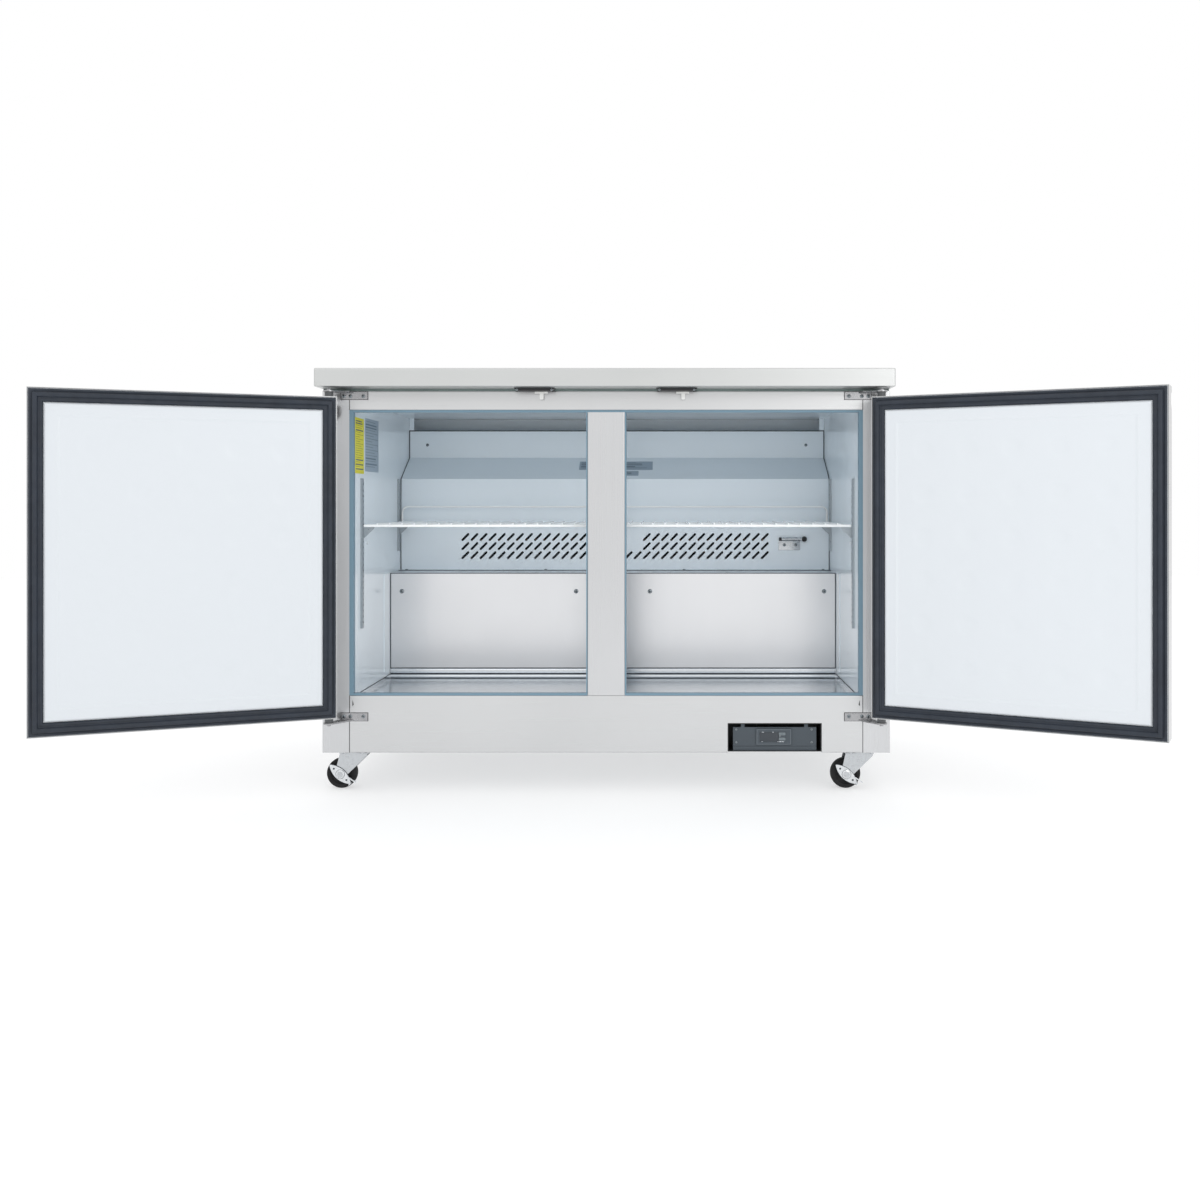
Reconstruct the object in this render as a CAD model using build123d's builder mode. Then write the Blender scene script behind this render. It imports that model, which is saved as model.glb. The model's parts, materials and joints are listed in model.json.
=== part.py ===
from build123d import *
from math import cos, radians, sin
import os

os.makedirs("parts", exist_ok=True)

# Two-door under counter refrigerator on casters, doors standing open.
# Millimetres. +Z up, +X to the viewer's right, +Y to the back.
# Origin: floor level, centre of the worktop's footprint.

# Driving dimensions
WIDTH = 1225
DEPTH = 762
HEIGHT = 911
CASTER_HEIGHT = 88
WORKTOP_THICKNESS = 38.5
SHEET = 1.2
BEND = 2.5
OVERHANG = 66
STILE = 58.5
LEFT_OPEN = 157.5
RIGHT_OPEN = 152.5

# Outer body
TOP_FRONT = -DEPTH / 2
FACE = TOP_FRONT + OVERHANG
REAR = DEPTH / 2 - 2
SIDE = WIDTH / 2
WORKTOP_UNDERSIDE = HEIGHT - WORKTOP_THICKNESS
BODY_TOP = WORKTOP_UNDERSIDE - 4
BODY_BOTTOM = CASTER_HEIGHT
STILE_EDGE = SIDE - STILE
SEAM = 0.5
FLANGE = 14
OPENING_TOP = 827
SILL = 211.6
MACHINE_TOP = 440

# Food compartment
INNER_SIDE = 545
LINER = 1.2
CEILING = 850
INNER_FRONT = FACE + 15
INNER_REAR = 330
FLOOR = 200
FLOOR_EDGE = 209
STEP_FRONT = 33
STEP_TOP = 457
UPSTAND = 224
TRIM_EDGE = 4.5
TRIM_RECESS = 0.5
POST = 43
POST_FACE = 40.5
POST_REAR = FACE + 39

# Evaporator cover
COVER_FOOT = 133
COVER_LOWER = 158
COVER_UPPER = 263.5
COVER_BEND_LOW = 688.6
COVER_BEND_HIGH = 746
COVER_TOP = 817
COVER_SIDE = INNER_SIDE - 0.5
CHEEK = 12.4
SLOT_PITCH = 23.06
SLOT_LENGTH = 26
SLOT_WIDTH = 6
SLOT_COLUMNS = 34
SLOT_GAP_COLUMNS = 6
SLOT_TOP_ROW = 541

# Shelves
SHELF_OUTER = 538
SHELF_INNER = 15
SHELF_FRONT = -255
SHELF_REAR = 135
SHELF_ROD_Z = 576.5
ROD = 3
WIRE = 1.6
WIRE_PITCH = 26
GUARD_HEIGHT = 618
STANDARD_FRONT_Y = -249
STANDARD_REAR_Y = 125
STANDARD_WIDTH = 12
STANDARD_DEPTH = 5
STANDARD_PITCH = 12.7
FRONT_STANDARD = (350, 681)
REAR_STANDARD = (507, 688)
CLIP_REACH = 24

# Doors, in a frame that turns with the door: a along the door from the pin, b towards the back
PIN_X = 587
PIN_Y = FACE - 40
PIN_R = 4
DOOR_START = -13
DOOR_END = 570
DOOR_REAR = 28
DOOR_FRONT = -24
DOOR_BOTTOM = 172
DOOR_TOP = 851
GASKET_INSET = 3
GASKET_WIDTH = 30
GASKET_HEIGHT = 4.5
MAGNET_INSET = 8
MAGNET_WIDTH = 10
MAGNET_HEIGHT = 11.7
GRIP_TOP = 840
GRIP_BOTTOM = 806
GRIP_DEPTH = 14

# Casters
WHEEL_R = 33
WHEEL_WIDTH = 30
TRAIL = 30
CASTER_X = 554
CASTER_FRONT_Y = -255
CASTER_REAR_Y = 300
AXLE_R = 4
KINGPIN_R = 5
FIT = 0.05
GAP = 0.3

# Controls
CONTROL_LEFT = 262
CONTROL_RIGHT = 465
CONTROL_TOP = 152
FASCIA_LEFT = 274
FASCIA_RIGHT = 454
FASCIA_TOP = 142
FASCIA_Y = FACE + 7
CONTROLLER_X = 362
CONTROLLER_Z = 121.5
CONTROLLER_WIDTH = 77
CONTROLLER_HEIGHT = 35
KEY_X = 380
KEY_SPOTS = {"upper": 128, "lower": 117}

# Screw heads
HEAD_R = 4
HEAD_H = 2.4
HEAD_TAPER = 20


def facing_front(y):
    """Plane square to the front at depth y: X to the right, Z up, normal towards the viewer."""
    return Plane.XZ.offset(-y)


def fold(*points, side=Side.LEFT, bend=BEND, thickness=SHEET):
    """Section of a folded sheet whose outer face follows the points."""
    with BuildSketch() as section:
        with BuildLine():
            FilletPolyline(*points, radius=bend)
            offset(amount=thickness, side=side)
        make_face()
    return section.sketch


def block(x, y, z):
    """Plain box between low and high limits, given as pairs."""
    with BuildPart() as piece:
        with Locations(((x[0] + x[1]) / 2, (y[0] + y[1]) / 2, (z[0] + z[1]) / 2)):
            Box(x[1] - x[0], y[1] - y[0], z[1] - z[0])
    return piece.part


# ---------------------------------------------------------------- outer shell

# Worktop: a folded pan with its return flanges closed over the front overhang
with BuildPart() as worktop:
    with BuildSketch(Plane.XY.offset(WORKTOP_UNDERSIDE)):
        RectangleRounded(WIDTH, DEPTH, 4)
    extrude(amount=WORKTOP_THICKNESS)
    fillet(worktop.faces().sort_by(Axis.Z)[-1].edges(), radius=2.5)
    fillet(worktop.faces().sort_by(Axis.Z)[0].edges(), radius=1)
    with BuildSketch(Plane.XY.offset(WORKTOP_UNDERSIDE + SHEET)):
        RectangleRounded(WIDTH - 2 * SHEET, DEPTH - 2 * SHEET, 3)
    extrude(amount=WORKTOP_THICKNESS - 2 * SHEET, mode=Mode.SUBTRACT)
    with BuildSketch(Plane.XY.offset(WORKTOP_UNDERSIDE)):
        with Locations((0, 22)):
            Rectangle(WIDTH - 120, DEPTH - 160)
    extrude(amount=SHEET, mode=Mode.SUBTRACT)
worktop.part.label = "worktop"
export_step(worktop.part, "parts/worktop.step")

# Side panels: outer skin with a wide front stile and a narrow rear return
REAR_RETURN = 20
for side, name in ((-1, "left"), (1, "right")):
    edge = side * SIDE
    with BuildPart() as side_panel:
        with BuildSketch(Plane.XY.offset(BODY_BOTTOM)):
            add(
                fold(
                    (side * STILE_EDGE, FACE),
                    (edge, FACE),
                    (edge, REAR),
                    (edge - side * REAR_RETURN, REAR),
                    side=Side.LEFT if side > 0 else Side.RIGHT,
                )
            )
        extrude(amount=BODY_TOP - BODY_BOTTOM)
    side_panel.part.label = f"{name}_side_panel"
    export_step(side_panel.part, f"parts/{name}_side_panel.step")

# Header above the doors
HEADER_HALF = STILE_EDGE - SEAM
with BuildPart() as front_header:
    with BuildSketch(Plane.YZ.offset(-HEADER_HALF)):
        add(
            fold(
                (FACE + FLANGE, BODY_TOP),
                (FACE, BODY_TOP),
                (FACE, OPENING_TOP),
                (FACE + FLANGE, OPENING_TOP),
            )
        )
    extrude(amount=2 * HEADER_HALF)
front_header.part.label = "front_header"
export_step(front_header.part, "parts/front_header.step")

# Lower front panel, cut away at the bottom for the controls and nicked at its top corners
with BuildPart() as lower_front_panel:
    with BuildSketch(Plane.YZ.offset(-HEADER_HALF)):
        add(
            fold(
                (FACE + FLANGE, SILL),
                (FACE, SILL),
                (FACE, BODY_BOTTOM),
                (FACE + FLANGE, BODY_BOTTOM),
            )
        )
    extrude(amount=2 * HEADER_HALF)
    with BuildSketch(facing_front(FACE)):
        with Locations(((CONTROL_LEFT + CONTROL_RIGHT) / 2, (CONTROL_TOP + BODY_BOTTOM) / 2)):
            Rectangle(CONTROL_RIGHT - CONTROL_LEFT, CONTROL_TOP - BODY_BOTTOM)
    extrude(amount=-FLANGE, mode=Mode.SUBTRACT)
    for side in (-1, 1):
        with BuildSketch(facing_front(FACE)):
            with BuildLine():
                Polyline(
                    (side * HEADER_HALF, SILL - 4),
                    (side * (HEADER_HALF - 5), SILL - 4),
                    (side * (HEADER_HALF - 9), SILL - 20),
                    (side * HEADER_HALF, SILL - 30),
                    close=True,
                )
            make_face()
        extrude(amount=-SHEET, mode=Mode.SUBTRACT)
lower_front_panel.part.label = "lower_front_panel"
export_step(lower_front_panel.part, "parts/lower_front_panel.step")

# Rear skin above the machine compartment
REAR_HALF = SIDE - REAR_RETURN - 1
with BuildPart() as back_panel:
    with BuildSketch(Plane.YZ.offset(-REAR_HALF)):
        add(
            fold(
                (REAR - FLANGE, BODY_TOP),
                (REAR, BODY_TOP),
                (REAR, MACHINE_TOP),
                (REAR - FLANGE, MACHINE_TOP),
                side=Side.RIGHT,
            )
        )
    extrude(amount=2 * REAR_HALF)
back_panel.part.label = "back_panel"
export_step(back_panel.part, "parts/back_panel.step")

# Removable louvred cover of the machine compartment, set in from the rear skin
GRILLE_Y = REAR - 12
GRILLE_BOTTOM = BODY_BOTTOM + 3
GRILLE_TOP = MACHINE_TOP - 1
LOUVRE_LENGTH = 150
with BuildPart() as rear_grille:
    with BuildSketch(facing_front(GRILLE_Y)):
        with Locations((0, (GRILLE_BOTTOM + GRILLE_TOP) / 2)):
            Rectangle(2 * REAR_HALF, GRILLE_TOP - GRILLE_BOTTOM)
        with Locations((0, (GRILLE_BOTTOM + GRILLE_TOP) / 2 + 16)):
            with GridLocations(LOUVRE_LENGTH + 40, 18, 5, 13):
                SlotOverall(LOUVRE_LENGTH, 7, mode=Mode.SUBTRACT)
        with Locations((REAR_HALF - 60, GRILLE_BOTTOM + 40)):
            Circle(9, mode=Mode.SUBTRACT)
    extrude(amount=SHEET)
rear_grille.part.label = "rear_grille"
export_step(rear_grille.part, "parts/rear_grille.step")

# Base pan that carries the casters, the compressor and the walls
BASE_SHEET = 2
BASE_FRONT = INNER_FRONT + 1
BASE_REAR = REAR - BEND
BASE_HALF = SIDE - SHEET
BASE_Y = (BASE_FRONT, BASE_REAR)
BASE_UPSTAND = 11
with BuildPart() as base_pan:
    add(block((-BASE_HALF, BASE_HALF), BASE_Y, (BODY_BOTTOM, BODY_BOTTOM + BASE_SHEET)))
    for side in (-1, 1):
        upstand = sorted((side * (BASE_HALF - BASE_SHEET), side * BASE_HALF))
        add(block(upstand, BASE_Y, (BODY_BOTTOM, BODY_BOTTOM + BASE_UPSTAND)))
    with BuildSketch(Plane.XY.offset(BODY_BOTTOM)):
        with Locations((200, 200)):
            with GridLocations(60, 16, 6, 5):
                SlotOverall(48, 6)
    extrude(amount=BASE_SHEET, mode=Mode.SUBTRACT)
base_pan.part.label = "base_pan"
export_step(base_pan.part, "parts/base_pan.step")

# Centre post: stainless face channel clipped over the plastic trim
POST_BOTTOM = SILL
POST_TOP = OPENING_TOP - TRIM_EDGE
with BuildPart() as mullion:
    with BuildSketch(Plane.XY.offset(POST_BOTTOM)):
        add(
            fold(
                (-POST_FACE, INNER_FRONT),
                (-POST_FACE, FACE),
                (POST_FACE, FACE),
                (POST_FACE, INNER_FRONT),
            )
        )
    extrude(amount=POST_TOP - POST_BOTTOM)
mullion.part.label = "mullion"
export_step(mullion.part, "parts/mullion.step")

# Plastic breaker trim round both openings, with the body of the centre post
TRIM_HALF = STILE_EDGE
TRIM_FRONT = FACE + TRIM_RECESS
OPENING_LOW = SILL + TRIM_EDGE
OPENING_HIGH = OPENING_TOP - TRIM_EDGE
with BuildPart() as breaker_trim:
    add(block((-TRIM_HALF, TRIM_HALF), (TRIM_FRONT, INNER_FRONT), (SILL, OPENING_TOP)))
    for side in (-1, 1):
        opening = sorted((side * POST, side * INNER_SIDE))
        add(
            block(opening, (TRIM_FRONT, INNER_FRONT), (OPENING_LOW, OPENING_HIGH)),
            mode=Mode.SUBTRACT,
        )
    add(block((-POST, POST), (INNER_FRONT, POST_REAR), (SILL, OPENING_TOP)))
    add(
        block((-POST_FACE, POST_FACE), (TRIM_FRONT, INNER_FRONT), (SILL, POST_TOP)),
        mode=Mode.SUBTRACT,
    )
    post_corners = breaker_trim.edges().filter_by(Axis.Z).group_by(Axis.Y)[-1]
    fillet(post_corners, radius=4)
breaker_trim.part.label = "breaker_trim"
export_step(breaker_trim.part, "parts/breaker_trim.step")

# ---------------------------------------------------------------- insulated interior

# Foamed-in insulation, one slab for each wall
WALL_INNER = INNER_SIDE + LINER
WALL_OUTER = SIDE - SHEET
FOAM_REAR = REAR - SHEET
SIDE_FOAM_REAR = REAR - FLANGE - 1
FLOOR_SLAB = 153
STEP_WALL = 40
with BuildPart() as insulation:
    for side in (-1, 1):
        wall = sorted((side * WALL_INNER, side * WALL_OUTER))
        add(block(wall, (INNER_FRONT, SIDE_FOAM_REAR), (BODY_BOTTOM + 12, WORKTOP_UNDERSIDE)))
    add(
        block(
            (-WALL_INNER, WALL_INNER),
            (INNER_FRONT, SIDE_FOAM_REAR),
            (CEILING + LINER, WORKTOP_UNDERSIDE),
        )
    )
    add(
        block(
            (-WALL_INNER, WALL_INNER),
            (INNER_REAR + LINER, FOAM_REAR),
            (MACHINE_TOP + BEND, CEILING + LINER),
        )
    )
    add(
        block(
            (-WALL_INNER, WALL_INNER),
            (FACE + SHEET, INNER_FRONT - LINER),
            (OPENING_TOP + BEND, BODY_TOP - BEND),
        )
    )
    add(block((-WALL_INNER, WALL_INNER), (INNER_FRONT, STEP_FRONT), (FLOOR_SLAB, FLOOR - SHEET)))
    add(
        block(
            (-WALL_INNER, WALL_INNER),
            (STEP_FRONT + SHEET, STEP_FRONT + SHEET + STEP_WALL),
            (FLOOR_SLAB, STEP_TOP - BEND),
        )
    )
    add(
        block(
            (-WALL_INNER, WALL_INNER),
            (STEP_FRONT + SHEET + STEP_WALL, INNER_REAR),
            (STEP_TOP - SHEET - STEP_WALL, STEP_TOP - SHEET),
        )
    )
insulation.part.label = "insulation"
export_step(insulation.part, "parts/insulation.step")

# White inner liner: side walls, ceiling with its front drop, rear wall and corner strips
CORNER_STRIP = 62
CORNER_STRIP_THICKNESS = 1.5
with BuildPart() as inner_liner:
    for side in (-1, 1):
        with BuildSketch(Plane.YZ.offset(side * INNER_SIDE)):
            with BuildLine():
                Polyline(
                    (INNER_FRONT, FLOOR - SHEET),
                    (STEP_FRONT, FLOOR - SHEET),
                    (STEP_FRONT, STEP_TOP),
                    (INNER_REAR, STEP_TOP),
                    (INNER_REAR, CEILING),
                    (INNER_FRONT, CEILING),
                    close=True,
                )
            make_face()
        extrude(amount=side * LINER)
        strip = sorted((side * INNER_SIDE, side * (INNER_SIDE - CORNER_STRIP_THICKNESS)))
        add(block(strip, (STEP_FRONT - CORNER_STRIP, STEP_FRONT), (UPSTAND, STEP_TOP)))
    add(block((-INNER_SIDE, INNER_SIDE), (INNER_FRONT, INNER_REAR), (CEILING, CEILING + LINER)))
    add(
        block(
            (-INNER_SIDE, INNER_SIDE),
            (INNER_FRONT - LINER, INNER_FRONT),
            (OPENING_TOP + SHEET, CEILING + LINER),
        )
    )
    add(block((-INNER_SIDE, INNER_SIDE), (INNER_REAR, INNER_REAR + LINER), (STEP_TOP, CEILING)))
inner_liner.part.label = "inner_liner"
export_step(inner_liner.part, "parts/inner_liner.step")

# Stainless floor pan with turned-up edges, higher against the step
with BuildPart() as floor_pan:
    add(block((-INNER_SIDE, INNER_SIDE), (INNER_FRONT, STEP_FRONT), (FLOOR - SHEET, FLOOR)))
    for side in (-1, 1):
        lip = sorted((side * INNER_SIDE, side * (INNER_SIDE - SHEET)))
        add(block(lip, (INNER_FRONT, STEP_FRONT), (FLOOR - SHEET, FLOOR_EDGE)))
    add(block((-INNER_SIDE, INNER_SIDE), (INNER_FRONT, INNER_FRONT + SHEET), (FLOOR - SHEET, SILL)))
    upstand_half = INNER_SIDE - CORNER_STRIP_THICKNESS
    add(block((-upstand_half, upstand_half), (STEP_FRONT - SHEET, STEP_FRONT), (FLOOR - SHEET, UPSTAND)))
floor_pan.part.label = "floor_pan"
export_step(floor_pan.part, "parts/floor_pan.step")

# Stainless step over the machine compartment
with BuildPart() as step_panel:
    with BuildSketch(Plane.YZ.offset(-INNER_SIDE)):
        add(
            fold(
                (STEP_FRONT, FLOOR),
                (STEP_FRONT, STEP_TOP),
                (INNER_REAR, STEP_TOP),
                side=Side.RIGHT,
            )
        )
    extrude(amount=2 * INNER_SIDE)
step_panel.part.label = "step_panel"
export_step(step_panel.part, "parts/step_panel.step")

# ---------------------------------------------------------------- evaporator

# Cover: foot, slotted lower face, slope and upper face, with a cheek at each end up to the ceiling
SLOT_FIRST = -(SLOT_COLUMNS - 1) / 2 * SLOT_PITCH
columns = [SLOT_FIRST + SLOT_PITCH * n for n in range(SLOT_COLUMNS)]
outer_columns = [x for x in columns if abs(x) > SLOT_GAP_COLUMNS / 2 * SLOT_PITCH]
slots = [(x, SLOT_TOP_ROW - row * SLOT_PITCH) for row in range(2) for x in outer_columns]
slots += [(x, SLOT_TOP_ROW - 2 * SLOT_PITCH) for x in columns]
with BuildPart() as evaporator_cover:
    with BuildSketch(Plane.YZ.offset(-COVER_SIDE)):
        add(
            fold(
                (COVER_FOOT, STEP_TOP + SHEET),
                (COVER_LOWER, STEP_TOP + SHEET),
                (COVER_LOWER, COVER_BEND_LOW),
                (COVER_UPPER, COVER_BEND_HIGH),
                (COVER_UPPER, COVER_TOP),
                (COVER_UPPER + FLANGE, COVER_TOP),
                side=Side.RIGHT,
                bend=1.5,
            )
        )
    extrude(amount=2 * COVER_SIDE)
    for side in (-1, 1):
        cheek = sorted((side * COVER_SIDE, side * (COVER_SIDE - CHEEK)))
        add(block(cheek, (COVER_UPPER, COVER_UPPER + SHEET), (COVER_TOP - 4, CEILING)))
    with BuildSketch(facing_front(COVER_LOWER)):
        with Locations(*slots):
            SlotOverall(SLOT_LENGTH, SLOT_WIDTH, rotation=45)
    extrude(amount=-SHEET, mode=Mode.SUBTRACT)
evaporator_cover.part.label = "evaporator_cover"
export_step(evaporator_cover.part, "parts/evaporator_cover.step")

# Fin-and-tube evaporator coil
COIL_HALF = 420
COIL_Y = (190, 305)
COIL_Z = (495, 600)
TUBE_R = 5
with BuildPart() as evaporator_coil:
    add(block((-COIL_HALF, COIL_HALF), COIL_Y, COIL_Z))
    for side in (-1, 1):
        end_plate = sorted((side * COIL_HALF, side * (COIL_HALF + 2)))
        add(block(end_plate, (COIL_Y[0] - 6, COIL_Y[1] + 6), (COIL_Z[0] - 6, COIL_Z[1] + 6)))
        with BuildSketch(Plane.YZ.offset(side * (COIL_HALF + 2))):
            with Locations(((COIL_Y[0] + COIL_Y[1]) / 2, (COIL_Z[0] + COIL_Z[1]) / 2)):
                with GridLocations(38, 25, 3, 4):
                    SlotOverall(30, 2 * TUBE_R)
        extrude(amount=side * 14)
evaporator_coil.part.label = "evaporator_coil"
export_step(evaporator_coil.part, "parts/evaporator_coil.step")

# Drain pan under the coil
PAN_X = (-440, 440)
PAN_Y = (166, 322)
PAN_Z = (STEP_TOP + 2, STEP_TOP + 24)
with BuildPart() as drain_pan:
    add(block(PAN_X, PAN_Y, PAN_Z))
    add(
        block(
            (PAN_X[0] + SHEET, PAN_X[1] - SHEET),
            (PAN_Y[0] + SHEET, PAN_Y[1] - SHEET),
            (PAN_Z[0] + SHEET, PAN_Z[1]),
        ),
        mode=Mode.SUBTRACT,
    )
drain_pan.part.label = "drain_pan"
export_step(drain_pan.part, "parts/drain_pan.step")

# Fan deck across the duct, with the fan motor hung over its hole
DECK_Z = 640
DECK_Y = (COVER_LOWER + SHEET + 0.5, INNER_REAR - 0.5)
FAN_Y = (DECK_Y[0] + DECK_Y[1]) / 2
FAN_R = 74
SHAFT_R = 3
HUB_R = 17
BLADES = 5


def fan_rotor(radius, hub_height, blade_width):
    """Axial fan rotor about its own Z axis, hub centred on the origin."""
    with BuildPart() as rotor:
        Cylinder(HUB_R, hub_height)
        for turn in range(BLADES):
            with Locations(Location((0, 0, 0), (0, 0, turn * 360 / BLADES))):
                with Locations(Location((radius / 2 + 4, 0, 0), (28, 0, 0))):
                    Box(radius - 8, blade_width, 1.6)
        Cylinder(SHAFT_R + FIT, hub_height, mode=Mode.SUBTRACT)
    return rotor.part


with BuildPart() as evaporator_fan_deck:
    add(block((-COVER_SIDE, COVER_SIDE), DECK_Y, (DECK_Z, DECK_Z + SHEET)))
    with Locations((0, FAN_Y, DECK_Z)):
        Cylinder(FAN_R + 5, 10, mode=Mode.SUBTRACT)
    with Locations((0, FAN_Y, DECK_Z + 40)):
        Cylinder(28, 44)
    for turn in range(4):
        with Locations(Location((0, FAN_Y, DECK_Z + 20), (0, 0, 45 + 90 * turn))):
            with Locations((52, 0, 0)):
                Box(66, 6, 4)
            with Locations((83, 0, -9)):
                Box(4, 6, 22)
    with Locations((0, FAN_Y, DECK_Z + 10)):
        Cylinder(SHAFT_R, 40)
evaporator_fan_deck.part.label = "evaporator_fan_deck"
export_step(evaporator_fan_deck.part, "parts/evaporator_fan_deck.step")

with BuildPart() as evaporator_fan:
    add(Pos(0, FAN_Y, DECK_Z) * fan_rotor(FAN_R, 16, 30))
evaporator_fan.part.label = "evaporator_fan"
export_step(evaporator_fan.part, "parts/evaporator_fan.step")

# Temperature probe: clamp plate, sheath and bulb
PROBE_X = (419, 470)
PROBE_Z = 536
PROBE_Y = COVER_LOWER - 7
SHEATH_R = 3.8
SHEATH_LENGTH = 62
BULB_R = 6.9
with BuildPart() as temperature_probe:
    add(block(PROBE_X, (COVER_LOWER - 2, COVER_LOWER), (PROBE_Z - 28, PROBE_Z - 4)))
    add(block(PROBE_X, (PROBE_Y, COVER_LOWER), (PROBE_Z - 6, PROBE_Z - 3)))
    with Locations(Location(((PROBE_X[0] + PROBE_X[1]) / 2 + 2, PROBE_Y, PROBE_Z), (0, 90, 0))):
        Cylinder(SHEATH_R, SHEATH_LENGTH)
    with Locations((PROBE_X[1] + 10, PROBE_Y, PROBE_Z)):
        Sphere(BULB_R)
temperature_probe.part.label = "temperature_probe"
export_step(temperature_probe.part, "parts/temperature_probe.step")

# ---------------------------------------------------------------- machine compartment

# Hermetic compressor: domed pot, rail feet and terminal box
COMPRESSOR_X = -320
COMPRESSOR_Y = 220
COMPRESSOR_BASE = BODY_BOTTOM + BASE_SHEET
POT_R = 78
POT_H = 180
POT_DOME = 34
POT_LIFT = 20
RAIL_SHEET = 4
RAIL_LENGTH = 210
RAIL_DEPTH = 130
FOOT_R = 13
FOOT_H = 16
FOOT_SPACING = (180, 100)
TERMINAL_BOX = (34, 70, 80)
PROCESS_TUBE_R = 5
PROCESS_TUBE_H = 110
with BuildPart() as compressor:
    with Locations((COMPRESSOR_X, COMPRESSOR_Y, COMPRESSOR_BASE + POT_LIFT + POT_H / 2)):
        Cylinder(POT_R, POT_H)
    fillet(compressor.edges().filter_by(GeomType.CIRCLE), radius=POT_DOME)
    with Locations((COMPRESSOR_X, COMPRESSOR_Y, COMPRESSOR_BASE + FOOT_H + RAIL_SHEET / 2)):
        Box(RAIL_LENGTH, RAIL_DEPTH, RAIL_SHEET)
    with Locations((COMPRESSOR_X, COMPRESSOR_Y, COMPRESSOR_BASE + FOOT_H / 2)):
        with GridLocations(*FOOT_SPACING, 2, 2):
            Cylinder(FOOT_R, FOOT_H)
    with Locations((COMPRESSOR_X + POT_R + 6, COMPRESSOR_Y, COMPRESSOR_BASE + 120)):
        Box(*TERMINAL_BOX)
    with Locations((COMPRESSOR_X - 60, COMPRESSOR_Y - 30, COMPRESSOR_BASE + 205)):
        Cylinder(PROCESS_TUBE_R, PROCESS_TUBE_H)
compressor.part.label = "compressor"
export_step(compressor.part, "parts/compressor.step")

# Condenser coil, standing across the compartment
CONDENSER_X = (430, 490)
CONDENSER_Y = (95, 345)
CONDENSER_Z = (100, 385)
FAN_AXIS_Y = 220
FAN_AXIS_Z = 243
CONDENSER_MIDDLE = (sum(CONDENSER_X) / 2, sum(CONDENSER_Z) / 2)
RETURN_BEND = 14
with BuildPart() as condenser_coil:
    add(block(CONDENSER_X, CONDENSER_Y, CONDENSER_Z))
    with BuildSketch(facing_front(CONDENSER_Y[0])):
        with Locations(CONDENSER_MIDDLE):
            with GridLocations(0, 50, 1, 5):
                SlotOverall(40, 2 * TUBE_R)
    extrude(amount=RETURN_BEND)
condenser_coil.part.label = "condenser_coil"
export_step(condenser_coil.part, "parts/condenser_coil.step")

# Shroud with the condenser fan motor on its spider
SHROUD_X = 400
SHROUD_DEPTH = 30
SHROUD_WIDTH = CONDENSER_Y[1] - CONDENSER_Y[0]
SHROUD_HEIGHT = CONDENSER_Z[1] - CONDENSER_Z[0]
SHROUD_WALL = 1.5
CONDENSER_FAN_R = 108
MOTOR_R = 34
MOTOR_LENGTH = 56
with BuildPart() as condenser_fan_shroud:
    with BuildSketch(Plane.YZ.offset(SHROUD_X)):
        with Locations((FAN_AXIS_Y, FAN_AXIS_Z)):
            Rectangle(SHROUD_WIDTH, SHROUD_HEIGHT)
            Circle(CONDENSER_FAN_R + 6, mode=Mode.SUBTRACT)
    extrude(amount=SHROUD_DEPTH)
    with BuildSketch(Plane.YZ.offset(SHROUD_X + SHEET)):
        with Locations((FAN_AXIS_Y, FAN_AXIS_Z)):
            Rectangle(SHROUD_WIDTH - 2 * SHROUD_WALL, SHROUD_HEIGHT - 2 * SHROUD_WALL)
    extrude(amount=SHROUD_DEPTH, mode=Mode.SUBTRACT)
    with Locations(Location((SHROUD_X - 60, FAN_AXIS_Y, FAN_AXIS_Z), (0, 90, 0))):
        Cylinder(MOTOR_R, MOTOR_LENGTH)
    for turn in range(4):
        with Locations(Location((SHROUD_X - 40, FAN_AXIS_Y, FAN_AXIS_Z), (45 + 90 * turn, 0, 0))):
            with Locations((0, 76, 0)):
                Box(4, 92, 8)
            with Locations((19, 120, 0)):
                Box(42, 4, 8)
    with Locations(Location((SHROUD_X - 20, FAN_AXIS_Y, FAN_AXIS_Z), (0, 90, 0))):
        Cylinder(SHAFT_R, 60)
condenser_fan_shroud.part.label = "condenser_fan_shroud"
export_step(condenser_fan_shroud.part, "parts/condenser_fan_shroud.step")

with BuildPart() as condenser_fan:
    add(Pos(SHROUD_X, FAN_AXIS_Y, FAN_AXIS_Z) * Rot(0, 90, 0) * fan_rotor(CONDENSER_FAN_R, 20, 38))
condenser_fan.part.label = "condenser_fan"
export_step(condenser_fan.part, "parts/condenser_fan.step")

# Cord gland in the rear cover
GLAND_SPOT = (REAR_HALF - 60, GRILLE_BOTTOM + 40)
GLAND_BORE_R = 5
GLAND_NUT = 6
with BuildPart() as cord_gland:
    with BuildSketch(facing_front(GRILLE_Y)):
        with Locations(GLAND_SPOT):
            RegularPolygon(14, 6)
            Circle(GLAND_BORE_R, mode=Mode.SUBTRACT)
    extrude(amount=-GLAND_NUT)
    with BuildSketch(facing_front(GRILLE_Y + GLAND_NUT)):
        with Locations(GLAND_SPOT):
            Circle(10)
            Circle(GLAND_BORE_R, mode=Mode.SUBTRACT)
    extrude(amount=-5)
cord_gland.part.label = "cord_gland"
export_step(cord_gland.part, "parts/cord_gland.step")

# ---------------------------------------------------------------- controls

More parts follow.
